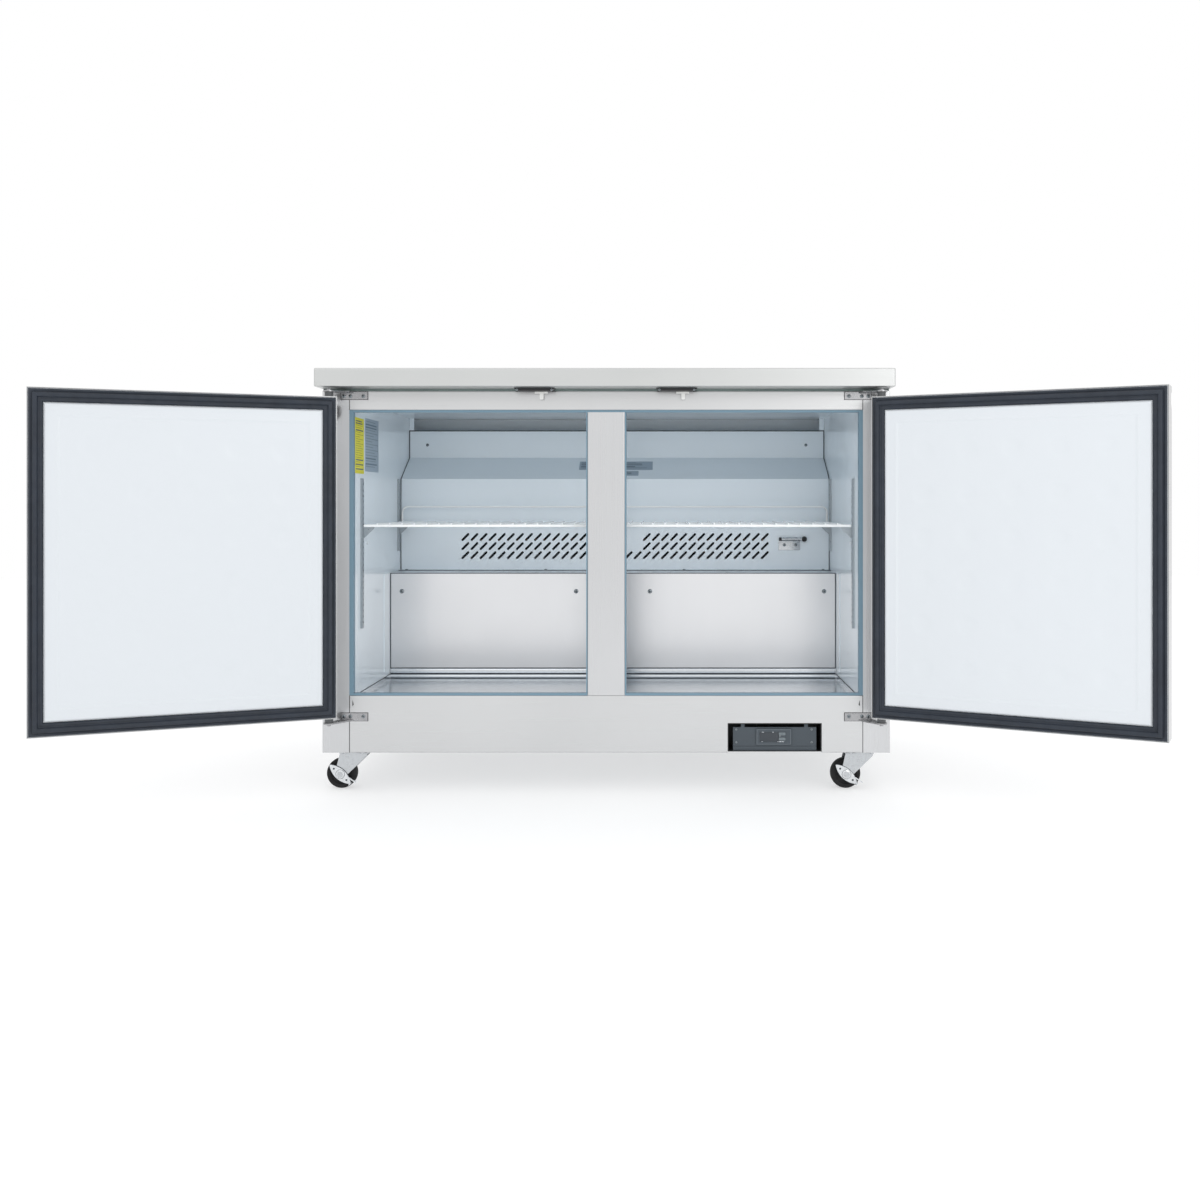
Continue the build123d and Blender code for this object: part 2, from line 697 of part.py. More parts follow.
# Black housing in the cut-out of the lower front panel
HOUSING_REAR = FACE + 75
HOUSING_WALL = 1.5
with BuildPart() as control_housing:
    housing_x = (CONTROL_LEFT + SEAM, CONTROL_RIGHT - SEAM)
    housing_z = (BODY_BOTTOM + BASE_SHEET + SEAM, CONTROL_TOP - SEAM)
    add(block(housing_x, (FACE + SHEET, HOUSING_REAR), housing_z))
    add(
        block(
            (housing_x[0] + HOUSING_WALL, housing_x[1] - HOUSING_WALL),
            (FACE + SHEET, HOUSING_REAR - HOUSING_WALL),
            (housing_z[0] + HOUSING_WALL, housing_z[1] - HOUSING_WALL),
        ),
        mode=Mode.SUBTRACT,
    )
control_housing.part.label = "control_housing"
export_step(control_housing.part, "parts/control_housing.step")

# Slate fascia with a folded lower lip and two locating tabs on its upper edge
FASCIA_SHEET = 1.5
LIP_TOP = 100.6
fascia_bottom = BODY_BOTTOM + BASE_SHEET + SEAM + HOUSING_WALL
with BuildPart() as control_fascia:
    add(block((FASCIA_LEFT, FASCIA_RIGHT), (FASCIA_Y, FASCIA_Y + FASCIA_SHEET), (fascia_bottom, FASCIA_TOP)))
    add(block((FASCIA_LEFT, FASCIA_RIGHT), (FASCIA_Y - 1.5, FASCIA_Y), (fascia_bottom, LIP_TOP)))
    for tab in (295, 432):
        add(block((tab - 4, tab + 4), (FASCIA_Y, FASCIA_Y + FASCIA_SHEET), (FASCIA_TOP, FASCIA_TOP + 7)))
    with BuildSketch(facing_front(FASCIA_Y)):
        with Locations((CONTROLLER_X, CONTROLLER_Z)):
            Rectangle(CONTROLLER_WIDTH - 6, CONTROLLER_HEIGHT - 6)
    extrude(amount=-FASCIA_SHEET, mode=Mode.SUBTRACT)
control_fascia.part.label = "control_fascia"
export_step(control_fascia.part, "parts/control_fascia.step")

# Digital thermostat: bezel, display window and body, with two key wells
KEY_W = 15
KEY_H = 7
BEZEL = 3
with BuildPart() as controller:
    with BuildSketch(facing_front(FASCIA_Y)):
        with Locations((CONTROLLER_X, CONTROLLER_Z)):
            RectangleRounded(CONTROLLER_WIDTH, CONTROLLER_HEIGHT, 2)
    extrude(amount=BEZEL)
    fillet(controller.faces().sort_by(Axis.Y)[0].edges(), radius=0.8)
    with BuildSketch(facing_front(FASCIA_Y)):
        with Locations((CONTROLLER_X, CONTROLLER_Z)):
            Rectangle(CONTROLLER_WIDTH - 7, CONTROLLER_HEIGHT - 7)
    extrude(amount=-50)
    with BuildSketch(facing_front(FASCIA_Y - BEZEL)):
        with Locations((CONTROLLER_X - 10, CONTROLLER_Z)):
            RectangleRounded(42, 22, 1)
    extrude(amount=-0.6, mode=Mode.SUBTRACT)
    with BuildSketch(facing_front(FASCIA_Y - BEZEL)):
        with Locations(*[(KEY_X, z) for z in KEY_SPOTS.values()]):
            Rectangle(KEY_W, KEY_H)
    extrude(amount=-6, mode=Mode.SUBTRACT)
controller.part.label = "controller"
export_step(controller.part, "parts/controller.step")

# Two keys in their wells
KEY_PLAY = 0.35
for name, z in KEY_SPOTS.items():
    with BuildPart() as key:
        with BuildSketch(facing_front(FASCIA_Y - BEZEL - 0.8)):
            with Locations((KEY_X, z)):
                RectangleRounded(KEY_W - 2 * KEY_PLAY, KEY_H - 2 * KEY_PLAY, 1)
        extrude(amount=-5)
        fillet(key.faces().sort_by(Axis.Y)[0].edges(), radius=0.4)
    key.part.label = f"controller_key_{name}"
    export_step(key.part, f"parts/controller_key_{name}.step")

# ---------------------------------------------------------------- shelves

# Slotted shelf standards: four on the side walls, one behind the post, one on the evaporator cover
standards = [
    (Plane((side * INNER_SIDE, y, 0), x_dir=(0, 1, 0), z_dir=(-side, 0, 0)), span)
    for side in (-1, 1)
    for y, span in ((STANDARD_FRONT_Y, FRONT_STANDARD), (STANDARD_REAR_Y, REAR_STANDARD))
]
standards.append((Plane((0, POST_REAR, 0), x_dir=(1, 0, 0), z_dir=(0, 1, 0)), FRONT_STANDARD))
standards.append((Plane((0, COVER_LOWER, 0), x_dir=(1, 0, 0), z_dir=(0, -1, 0)), REAR_STANDARD))
with BuildPart() as shelf_standards:
    for plane, (low, high) in standards:
        upright = 1 if plane.y_dir.Z > 0 else -1
        middle = upright * (low + high) / 2
        with BuildSketch(plane):
            with Locations((0, middle)):
                Rectangle(STANDARD_WIDTH, high - low)
        extrude(amount=STANDARD_DEPTH)
        with BuildSketch(plane):
            with Locations((0, middle)):
                Rectangle(STANDARD_WIDTH - 2 * SHEET, high - low)
        extrude(amount=STANDARD_DEPTH - SHEET, mode=Mode.SUBTRACT)
        count = int((high - low) / STANDARD_PITCH) - 1
        with BuildSketch(plane.offset(STANDARD_DEPTH - SHEET)):
            with Locations((0, middle)):
                with GridLocations(0, STANDARD_PITCH, 1, count):
                    Rectangle(6, 3.2)
        extrude(amount=SHEET, mode=Mode.SUBTRACT)
shelf_standards.part.label = "shelf_standards"
export_step(shelf_standards.part, "parts/shelf_standards.step")

# Shelf clips hooked on the standards: a seat plate with a raking strut below it
CLIP_TOP = SHELF_ROD_Z - ROD - GAP
CLIP_PLATE = 1.6
CLIP_DROP = 24


def shelf_clip(plane, half_width):
    """Clip standing out of a standard's face; plane is that face, drawn with Z up."""
    upright = 1 if plane.y_dir.Z > 0 else -1
    with BuildPart() as clip:
        with BuildSketch(plane):
            with Locations((0, upright * (CLIP_TOP - CLIP_PLATE / 2))):
                Rectangle(2 * half_width, CLIP_PLATE)
        extrude(amount=CLIP_REACH)
        across = Plane(plane.origin, x_dir=plane.z_dir, z_dir=plane.z_dir.cross(Vector(0, 0, 1)))
        with BuildSketch(across.offset(-CLIP_PLATE / 2)):
            with BuildLine():
                Polyline(
                    (0, CLIP_TOP),
                    (CLIP_REACH, CLIP_TOP),
                    (CLIP_REACH, CLIP_TOP - 3),
                    (2, CLIP_TOP - CLIP_DROP),
                    (0, CLIP_TOP - CLIP_DROP),
                    close=True,
                )
            make_face()
        extrude(amount=CLIP_PLATE)
    return clip.part


with BuildPart() as shelf_clips:
    for plane, span in standards[:4]:
        add(shelf_clip(plane.offset(STANDARD_DEPTH), 5))
    for plane, span in standards[4:]:
        add(shelf_clip(plane.offset(STANDARD_DEPTH), 28))
shelf_clips.part.label = "shelf_clips"
export_step(shelf_clips.part, "parts/shelf_clips.step")


def rod(start, end, radius):
    """Straight round wire between two points."""
    with BuildPart() as wire:
        direction = Vector(*end) - Vector(*start)
        with BuildSketch(Plane(start, z_dir=direction)):
            Circle(radius)
        extrude(amount=direction.length)
    return wire.part


# Wire shelves: rod frame, close wires front to back and a raised guard rail at the rear
for side, name in ((-1, "left"), (1, "right")):
    near = side * (SHELF_INNER + ROD)
    far = side * (SHELF_OUTER - ROD)
    front = SHELF_FRONT + ROD
    rear = SHELF_REAR - ROD
    wire_z = SHELF_ROD_Z + ROD + WIRE - 0.3
    rail = FilletPolyline(
        (near, rear, SHELF_ROD_Z),
        (near, rear, GUARD_HEIGHT),
        (far, rear, GUARD_HEIGHT),
        (far, rear, SHELF_ROD_Z),
        radius=14,
    )
    with BuildPart() as shelf:
        with BuildSketch(Plane.XY.offset(SHELF_ROD_Z)):
            with Locations(((near + far) / 2, (front + rear) / 2)):
                Rectangle(abs(far - near) + 2 * ROD, rear - front + 2 * ROD)
                Rectangle(abs(far - near) - 2 * ROD, rear - front - 2 * ROD, mode=Mode.SUBTRACT)
        extrude(amount=ROD, both=True)
        fillet(shelf.edges().filter_by(Plane.XY), radius=ROD - 0.4)
        for brace in (front + (rear - front) / 3, front + (rear - front) * 2 / 3):
            add(rod((near, brace, SHELF_ROD_Z), (far, brace, SHELF_ROD_Z), ROD - 0.4))
        wires = int(abs(far - near) / WIRE_PITCH)
        step = (far - near) / wires
        for n in range(1, wires):
            x = near + n * step
            add(rod((x, front - 2, wire_z), (x, rear + 2, wire_z), WIRE))
        with BuildSketch(Plane.XY.offset(SHELF_ROD_Z)):
            with Locations((near, rear)):
                Circle(2.5)
        sweep(path=rail)
    shelf.part.label = f"{name}_shelf"
    export_step(shelf.part, f"parts/{name}_shelf.step")

# ---------------------------------------------------------------- doors and hinges

UP = Vector(0, 0, 1)


def door_axes(side):
    """Pin position, direction along the door and direction to its rear, for the open door."""
    swing = radians(LEFT_OPEN if side < 0 else RIGHT_OPEN)
    pin = Vector(side * PIN_X, PIN_Y, 0)
    along = Vector(-side * cos(swing), -sin(swing), 0)
    rear = Vector(-side * sin(swing), cos(swing), 0)
    return pin, along, rear


ARM_TOP = (863, 866)
ARM_BOTTOM = (157, 160)
PLATE_X = (514, 572)
PLATE_THICKNESS = 2.5
BUSH_R = 7
BUSH_FLANGE_R = 9
PIN_TOP = (842, 869)
PIN_BOTTOM = (153, 189)

# Hinge brackets on the body: screw plate, arm and pin
with BuildPart() as hinge_brackets:
    for side in (-1, 1):
        plate_x = sorted((side * PLATE_X[0], side * PLATE_X[1]))
        for arm, plate_z, pin_z in (
            (ARM_TOP, (ARM_TOP[1] - 16, ARM_TOP[1]), PIN_TOP),
            (ARM_BOTTOM, (ARM_BOTTOM[0], ARM_BOTTOM[0] + 17), PIN_BOTTOM),
        ):
            add(block(plate_x, (FACE - PLATE_THICKNESS, FACE), plate_z))
            with BuildSketch(Plane.XY.offset(arm[0])):
                with Locations((side * PIN_X, PIN_Y)):
                    Circle(12)
                with Locations((side * (PLATE_X[1] - 14), FACE - PLATE_THICKNESS / 2)):
                    Rectangle(28, PLATE_THICKNESS)
                make_hull()
            extrude(amount=arm[1] - arm[0])
            with BuildSketch(Plane.XY.offset(pin_z[0])):
                with Locations((side * PIN_X, PIN_Y)):
                    Circle(PIN_R)
            extrude(amount=pin_z[1] - pin_z[0])
hinge_brackets.part.label = "hinge_brackets"
export_step(hinge_brackets.part, "parts/hinge_brackets.step")

DOOR_HEIGHT = DOOR_TOP - DOOR_BOTTOM
DOOR_MIDDLE = (DOOR_TOP + DOOR_BOTTOM) / 2
DOOR_CENTRE = (DOOR_START + DOOR_END) / 2
DOOR_WIDTH = DOOR_END - DOOR_START
SLEEVE_TOP = (841, DOOR_TOP)
SLEEVE_BOTTOM = (DOOR_BOTTOM, 190)
GRIP_BACK = DOOR_FRONT + GRIP_DEPTH
LINER_RAISE = 6
LINER_PLATE = 2
FIELD_BORDER = 26

skin_line = (
    (DOOR_REAR, DOOR_TOP),
    (DOOR_FRONT, DOOR_TOP),
    (DOOR_FRONT, GRIP_TOP),
    (GRIP_BACK, GRIP_TOP - 4),
    (GRIP_BACK, GRIP_BOTTOM + 12),
    (DOOR_FRONT, GRIP_BOTTOM),
    (DOOR_FRONT, DOOR_BOTTOM),
    (DOOR_REAR, DOOR_BOTTOM),
)

for side, name in ((-1, "left"), (1, "right")):
    pin, along, rear = door_axes(side)

    # Stainless skin: folded front with a full-width finger grip under its top lip, and end plates
    with BuildPart() as door_skin:
        end = Plane(pin + along * DOOR_START, x_dir=rear, z_dir=rear.cross(UP))
        with BuildSketch(end):
            add(fold(*skin_line, bend=2))
        extrude(amount=-side * DOOR_WIDTH)
        for start in (DOOR_START, DOOR_END - SHEET):
            with BuildSketch(Plane(pin + along * start, x_dir=rear, z_dir=rear.cross(UP))):
                with BuildLine():
                    FilletPolyline(*skin_line, radius=2, close=True)
                make_face()
            extrude(amount=-side * SHEET)
        for z in (DOOR_BOTTOM, DOOR_TOP - SHEET):
            with BuildSketch(Plane(pin + UP * z, x_dir=along, z_dir=UP)):
                Circle(BUSH_R)
            extrude(amount=SHEET, mode=Mode.SUBTRACT)
    door_skin.part.label = f"{name}_door_skin"
    export_step(door_skin.part, f"parts/{name}_door_skin.step")

    # Foam core, thinner behind the grip
    with BuildPart() as door_foam:
        inner = 1.7
        with BuildSketch(Plane(pin + along * (DOOR_START + inner), x_dir=rear, z_dir=rear.cross(UP))):
            with BuildLine():
                Polyline(
                    (DOOR_FRONT + inner, DOOR_BOTTOM + inner),
                    (DOOR_REAR - LINER_PLATE - 0.2, DOOR_BOTTOM + inner),
                    (DOOR_REAR - LINER_PLATE - 0.2, DOOR_TOP - inner),
                    (GRIP_BACK + 3, DOOR_TOP - inner),
                    (GRIP_BACK + 3, GRIP_BOTTOM),
                    (DOOR_FRONT + inner, GRIP_BOTTOM - 8),
                    close=True,
                )
            make_face()
        extrude(amount=-side * (DOOR_WIDTH - 2 * inner))
        for low, high in (SLEEVE_TOP, SLEEVE_BOTTOM):
            with BuildSketch(Plane(pin + UP * (low - 1), x_dir=along, z_dir=UP)):
                Circle(BUSH_R + 0.3)
            extrude(amount=high - low + 2, mode=Mode.SUBTRACT)
    door_foam.part.label = f"{name}_door_foam"
    export_step(door_foam.part, f"parts/{name}_door_foam.step")

    # White moulded inner panel: flat border, raised middle with a sunk field, hollow behind
    raised_w = DOOR_WIDTH - 2 * (GASKET_INSET + GASKET_WIDTH)
    raised_h = DOOR_HEIGHT - 2 * (GASKET_INSET + GASKET_WIDTH)
    with BuildPart() as door_liner:
        base = Plane(pin + rear * (DOOR_REAR - LINER_PLATE), x_dir=along, z_dir=along.cross(UP))
        with BuildSketch(base):
            with Locations((DOOR_CENTRE, DOOR_MIDDLE)):
                Rectangle(DOOR_WIDTH - 2 * SHEET, DOOR_HEIGHT - 2 * SHEET)
        extrude(amount=side * LINER_PLATE)
        front_of_base = Plane(pin + rear * DOOR_REAR, x_dir=along, z_dir=along.cross(UP))
        with BuildSketch(front_of_base):
            with Locations((DOOR_CENTRE, DOOR_MIDDLE)):
                RectangleRounded(raised_w, raised_h, 8)
        extrude(amount=side * LINER_RAISE)
        with BuildSketch(base):
            with Locations((DOOR_CENTRE, DOOR_MIDDLE)):
                RectangleRounded(raised_w - 6, raised_h - 6, 5)
        extrude(amount=side * LINER_RAISE, mode=Mode.SUBTRACT)
        field_face = Plane(pin + rear * (DOOR_REAR + LINER_RAISE), x_dir=along, z_dir=along.cross(UP))
        with BuildSketch(field_face):
            with Locations((DOOR_CENTRE, DOOR_MIDDLE)):
                RectangleRounded(raised_w - 2 * FIELD_BORDER, raised_h - 2 * FIELD_BORDER, 6)
        extrude(amount=-side * 0.8, mode=Mode.SUBTRACT)
    door_liner.part.label = f"{name}_door_liner"
    export_step(door_liner.part, f"parts/{name}_door_liner.step")

    # Magnetic gasket: flat web with a raised magnet bead
    gasket_w = DOOR_WIDTH - 2 * GASKET_INSET
    gasket_h = DOOR_HEIGHT - 2 * GASKET_INSET
    with BuildPart() as door_gasket:
        for inset, width, height in (
            (0, GASKET_WIDTH - 0.5, GASKET_HEIGHT),
            (MAGNET_INSET, MAGNET_WIDTH, MAGNET_HEIGHT),
        ):
            with BuildSketch(front_of_base):
                with Locations((DOOR_CENTRE, DOOR_MIDDLE)):
                    Rectangle(gasket_w - 2 * inset, gasket_h - 2 * inset)
                    hole = 2 * (inset + width)
                    Rectangle(gasket_w - hole, gasket_h - hole, mode=Mode.SUBTRACT)
            extrude(amount=side * height)
    door_gasket.part.label = f"{name}_door_gasket"
    export_step(door_gasket.part, f"parts/{name}_door_gasket.step")

    # Nylon hinge bushings: spacer flange outside the door, sleeve inside it
    with BuildPart() as door_bushings:
        for flange, sleeve in (
            ((DOOR_TOP, ARM_TOP[0] - 0.4), SLEEVE_TOP),
            ((ARM_BOTTOM[1] + 0.4, DOOR_BOTTOM), SLEEVE_BOTTOM),
        ):
            for (low, high), radius in ((flange, BUSH_FLANGE_R), (sleeve, BUSH_R)):
                with BuildSketch(Plane(pin + UP * low, x_dir=along, z_dir=UP)):
                    Circle(radius)
                    Circle(PIN_R + FIT, mode=Mode.SUBTRACT)
                extrude(amount=high - low)
    door_bushings.part.label = f"{name}_door_bushings"
    export_step(door_bushings.part, f"parts/{name}_door_bushings.step")

# ---------------------------------------------------------------- door switches

SWITCH_X = 152
SWITCH_TOP_HALF = 44
SWITCH_BOTTOM_HALF = 34
SWITCH_BOTTOM = 866
SWITCH_Y = (FACE - 32, FACE - 1)
LEVER_OFFSET = 14
with BuildPart() as door_switch_housings:
    for x in (-SWITCH_X, SWITCH_X):
        with BuildSketch(facing_front(SWITCH_Y[0])):
            with BuildLine():
                Polyline(
                    (x - SWITCH_TOP_HALF, WORKTOP_UNDERSIDE),
                    (x + SWITCH_TOP_HALF, WORKTOP_UNDERSIDE),
                    (x + SWITCH_TOP_HALF - 3, WORKTOP_UNDERSIDE - 3),
                    (x + SWITCH_BOTTOM_HALF, SWITCH_BOTTOM),
                    (x - SWITCH_BOTTOM_HALF, SWITCH_BOTTOM),
                    (x - SWITCH_TOP_HALF + 3, WORKTOP_UNDERSIDE - 3),
                    close=True,
                )
            make_face()
        extrude(amount=-(SWITCH_Y[1] - SWITCH_Y[0]))
door_switch_housings.part.label = "door_switch_housings"
export_step(door_switch_housings.part, "parts/door_switch_housings.step")

# White switch levers: bar under the housing with a stub hanging behind the closed door
LEVER_TOP = SWITCH_BOTTOM - GAP
LEVER_BAR = 4
LEVER_TIP = 849
LEVER_Y = (FACE - 10.5, FACE - 7.5)
for side, name in ((-1, "left"), (1, "right")):
    x = side * SWITCH_X + LEVER_OFFSET
    with BuildPart() as switch_lever:
        add(block((x - 15, x + 13), LEVER_Y, (LEVER_TOP - LEVER_BAR, LEVER_TOP)))
        add(block((x - 4, x + 4), LEVER_Y, (LEVER_TIP, LEVER_TOP - LEVER_BAR)))
        fillet(switch_lever.edges().filter_by(Axis.Y).group_by(Axis.Z)[0], radius=3)
    switch_lever.part.label = f"{name}_switch_lever"
    export_step(switch_lever.part, f"parts/{name}_switch_lever.step")

# ---------------------------------------------------------------- casters

caster_spots = {
    "front_left": (-CASTER_X, CASTER_FRONT_Y),
    "front_right": (CASTER_X, CASTER_FRONT_Y),
    "rear_left": (-CASTER_X, CASTER_REAR_Y),
    "rear_right": (CASTER_X, CASTER_REAR_Y),
}
PLATE_SIZE = (60, 92)
PLATE_SLAB = 2.5
RACE_LOW = 79.5
CROWN_HIGH = RACE_LOW - GAP
CROWN_LOW = CROWN_HIGH - 3
NUT_HIGH = CROWN_LOW - GAP
LEG_INNER = WHEEL_WIDTH / 2 + 2
LEG_SHEET = 2.5
AXLE_Z = WHEEL_R
AXLE_HEAD = 4
LEVER_SHEET = 2
BRAKE_SPACE = LEVER_SHEET + 2 * GAP

# Caster top plates with their swivel race and kingpin
with BuildPart() as caster_plates:
    for x, y in caster_spots.values():
        with BuildSketch(Plane.XY.offset(BODY_BOTTOM - PLATE_SLAB)):
            with Locations((x, y)):
                RectangleRounded(*PLATE_SIZE, 6)
        extrude(amount=PLATE_SLAB)
        for low, high, radius in (
            (RACE_LOW, BODY_BOTTOM - PLATE_SLAB, 21),
            (NUT_HIGH, RACE_LOW, KINGPIN_R),
            (NUT_HIGH - 4, NUT_HIGH, 9),
        ):
            with BuildSketch(Plane.XY.offset(low)):
                with Locations((x, y)):
                    Circle(radius)
            extrude(amount=high - low)
caster_plates.part.label = "caster_plates"
export_step(caster_plates.part, "parts/caster_plates.step")

for name, (x, y) in caster_spots.items():
    # Fork: crown plate, two raked legs and the axle bolt
    with BuildPart() as fork:
        leg_width = LEG_INNER + LEG_SHEET
        add(block((x - 31, x + 28), (y - leg_width, y + leg_width), (CROWN_LOW, CROWN_HIGH)))
        with BuildSketch(Plane.XY.offset(CROWN_LOW)):
            with Locations((x, y)):
                Circle(KINGPIN_R + FIT)
        extrude(amount=CROWN_HIGH - CROWN_LOW, mode=Mode.SUBTRACT)
        for face in (y - leg_width, y + LEG_INNER):
            with BuildSketch(facing_front(face)):
                with BuildLine():
                    Polyline(
                        (x - 31, CROWN_HIGH),
                        (x + 28, CROWN_HIGH),
                        (x + 28, CROWN_HIGH - 6),
                        (x - TRAIL + 11, AXLE_Z - 5),
                        (x - TRAIL + 4, AXLE_Z - 10),
                        (x - TRAIL - 4, AXLE_Z - 10),
                        (x - TRAIL - 10, AXLE_Z - 3),
                        (x - TRAIL - 9, AXLE_Z + 14),
                        close=True,
                    )
                make_face()
            extrude(amount=-LEG_SHEET)
        nut_gap = BRAKE_SPACE if "front" in name else 0
        with BuildSketch(facing_front(y + leg_width)):
            with Locations((x - TRAIL, AXLE_Z)):
                Circle(AXLE_R)
        extrude(amount=2 * leg_width + nut_gap)
        for head in (y + leg_width + AXLE_HEAD, y - leg_width - nut_gap):
            with BuildSketch(facing_front(head)):
                with Locations((x - TRAIL, AXLE_Z)):
                    RegularPolygon(AXLE_R + 3, 6)
            extrude(amount=AXLE_HEAD)
    fork.part.label = f"{name}_caster_fork"
    export_step(fork.part, f"parts/{name}_caster_fork.step")

    # Wheel: rounded tread on a dished hub
    with BuildPart() as wheel:
        with BuildSketch(Plane.XY.offset(0)) as wheel_section:
            with BuildLine():
                Polyline(
                    (AXLE_R + FIT, -15),
                    (12, -15),
                    (14, -12),
                    (22, -12),
                    (24, -13.5),
                    (WHEEL_R - 4, -13.5),
                )
                RadiusArc((WHEEL_R - 4, -13.5), (WHEEL_R, 0), -26)
                RadiusArc((WHEEL_R, 0), (WHEEL_R - 4, 13.5), -26)
                Polyline(
                    (WHEEL_R - 4, 13.5),
                    (24, 13.5),
                    (22, 12),
                    (14, 12),
                    (12, 15),
                    (AXLE_R + FIT, 15),
                    (AXLE_R + FIT, -15),
                )
            make_face()
        revolve(axis=Axis.Y)
    placed = Pos(x - TRAIL, y, AXLE_Z) * wheel.part
    with BuildPart() as caster_wheel:
        add(placed)
    caster_wheel.part.label = f"{name}_caster_wheel"
    export_step(caster_wheel.part, f"parts/{name}_caster_wheel.step")

# Brake levers on the front casters: a bow-shaped plate about the axle with a bent toe
LEVER_HUB = 12
LEVER_REACH = 31
LEVER_ANGLE = radians(-42)
for side, name in ((-1, "front_left"), (1, "front_right")):
    x, y = caster_spots[name]
    lever_y = y - LEG_INNER - LEG_SHEET - GAP
    reach = (cos(LEVER_ANGLE), 0, sin(LEVER_ANGLE))
    turned = Plane((x - TRAIL, lever_y, AXLE_Z), x_dir=reach, z_dir=(0, -1, 0))
    with BuildPart() as brake_lever:
        with BuildSketch(turned):
            Circle(LEVER_HUB)
            with Locations((LEVER_REACH - 6, 0), (6 - LEVER_REACH, 0)):
                Ellipse(6, 7)
            make_hull()
            Circle(AXLE_R + FIT, mode=Mode.SUBTRACT)
        extrude(amount=LEVER_SHEET)
        with BuildSketch(turned):
            with Locations((LEVER_REACH + 1, 0)):
                Rectangle(4, 10)
        extrude(amount=9)
    brake_lever.part.label = f"{name}_brake_lever"
    export_step(brake_lever.part, f"parts/{name}_brake_lever.step")

# ---------------------------------------------------------------- screw heads of the cabinet

SMALL_HEAD_R = 2.6
STANDARD_HEAD_R = 3.2
SWITCH_EAR = 37
STANDARD_CENTRE = 9.5
GRILLE_INSET_X = 14
GRILLE_INSET_Z = 12
front_screws = {
    STEP_FRONT: [(x, 412) for x in (-515, -90, 90, 515)],
    COVER_UPPER: [(x, 780) for x in (-497, 497)],
    COVER_LOWER - 2: [(430, 521), (459, 521)],
    FASCIA_Y: [(x, z) for x in (281, 444) for z in (109, 137)],
    FACE - PLATE_THICKNESS: [
        (side * x, z) for side in (-1, 1) for x in (523, 551, 565) for z in (857, 167)
    ],
    SWITCH_Y[0]: [
        (side * SWITCH_X + turn * SWITCH_EAR, WORKTOP_UNDERSIDE - 4.2)
        for side in (-1, 1)
        for turn in (-1, 1)
    ],
}
side_screws = [(STANDARD_FRONT_Y + STANDARD_CENTRE, z) for z in (368, 521, 671)]
side_screws += [(STANDARD_REAR_Y + STANDARD_CENTRE, z) for z in (522, 675)]
grille_screws = [
    (x, z)
    for x in (-REAR_HALF + GRILLE_INSET_X, 0, REAR_HALF - GRILLE_INSET_X)
    for z in (GRILLE_BOTTOM + GRILLE_INSET_Z, GRILLE_TOP - GRILLE_INSET_Z)
]
with BuildPart() as cabinet_screws:
    for y, spots in front_screws.items():
        radius = SMALL_HEAD_R if y in (FASCIA_Y, SWITCH_Y[0]) else HEAD_R
        with BuildSketch(facing_front(y)):
            with Locations(*spots):
                Circle(radius)
        extrude(amount=HEAD_H, taper=HEAD_TAPER)
    with BuildSketch(Plane.XY.offset(STEP_TOP + SHEET)):
        with Locations(*[(x, 145) for x in (-527, -175, 175, 527)]):
            Circle(HEAD_R)
    extrude(amount=3, taper=HEAD_TAPER)
    for side in (-1, 1):
        wall = Plane((side * INNER_SIDE, 0, 0), x_dir=(0, -side, 0), z_dir=(-side, 0, 0))
        with BuildSketch(wall):
            with Locations(*[(-side * y, z) for y, z in side_screws]):
                Circle(STANDARD_HEAD_R)
        extrude(amount=HEAD_H, taper=HEAD_TAPER)
    with BuildSketch(facing_front(GRILLE_Y)):
        with Locations(*grille_screws):
            Circle(HEAD_R)
    extrude(amount=-HEAD_H, taper=HEAD_TAPER)
cabinet_screws.part.label = "cabinet_screws"
export_step(cabinet_screws.part, "parts/cabinet_screws.step")
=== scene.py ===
import json
from math import cos, exp, pi, radians, sin

import bmesh
import bpy
from mathutils import Matrix, Vector


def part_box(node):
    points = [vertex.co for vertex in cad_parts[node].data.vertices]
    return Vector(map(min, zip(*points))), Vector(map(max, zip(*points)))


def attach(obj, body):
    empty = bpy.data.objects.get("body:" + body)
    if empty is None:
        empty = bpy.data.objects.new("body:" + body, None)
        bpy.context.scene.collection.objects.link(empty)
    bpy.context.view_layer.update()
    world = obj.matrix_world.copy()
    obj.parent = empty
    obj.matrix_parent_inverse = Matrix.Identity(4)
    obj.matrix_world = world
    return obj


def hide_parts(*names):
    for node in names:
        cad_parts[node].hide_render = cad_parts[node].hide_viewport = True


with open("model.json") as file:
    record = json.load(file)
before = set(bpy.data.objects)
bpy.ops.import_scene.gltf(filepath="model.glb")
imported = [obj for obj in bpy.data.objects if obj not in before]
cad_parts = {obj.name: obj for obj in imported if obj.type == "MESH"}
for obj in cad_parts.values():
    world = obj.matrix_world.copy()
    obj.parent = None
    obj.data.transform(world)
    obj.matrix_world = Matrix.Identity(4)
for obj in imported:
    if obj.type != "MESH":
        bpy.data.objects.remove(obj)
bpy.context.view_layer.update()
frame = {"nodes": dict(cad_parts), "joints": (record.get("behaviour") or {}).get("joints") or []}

# Two-door under counter refrigerator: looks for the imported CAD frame. Metres.

nodes = frame["nodes"]
joints = {joint["name"]: joint for joint in frame["joints"]}
MM = 0.001
CASTERS = ("front_left", "front_right", "rear_left", "rear_right")
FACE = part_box("lower_front_panel")[0].y
# Evaporator cover, from its foot over the slope to its top, and the floor pan with its lip
COVER_FOOT_Y = 0.133
COVER_LOWER_Y = 0.158
COVER_UPPER_Y = 0.2635
SLOPE_LOW_Z = 0.6886
SLOPE_HIGH_Z = 0.746
COVER_TOP_Z = 0.817
FLOOR_TOP = 0.200
LIP_TOP = 0.2095
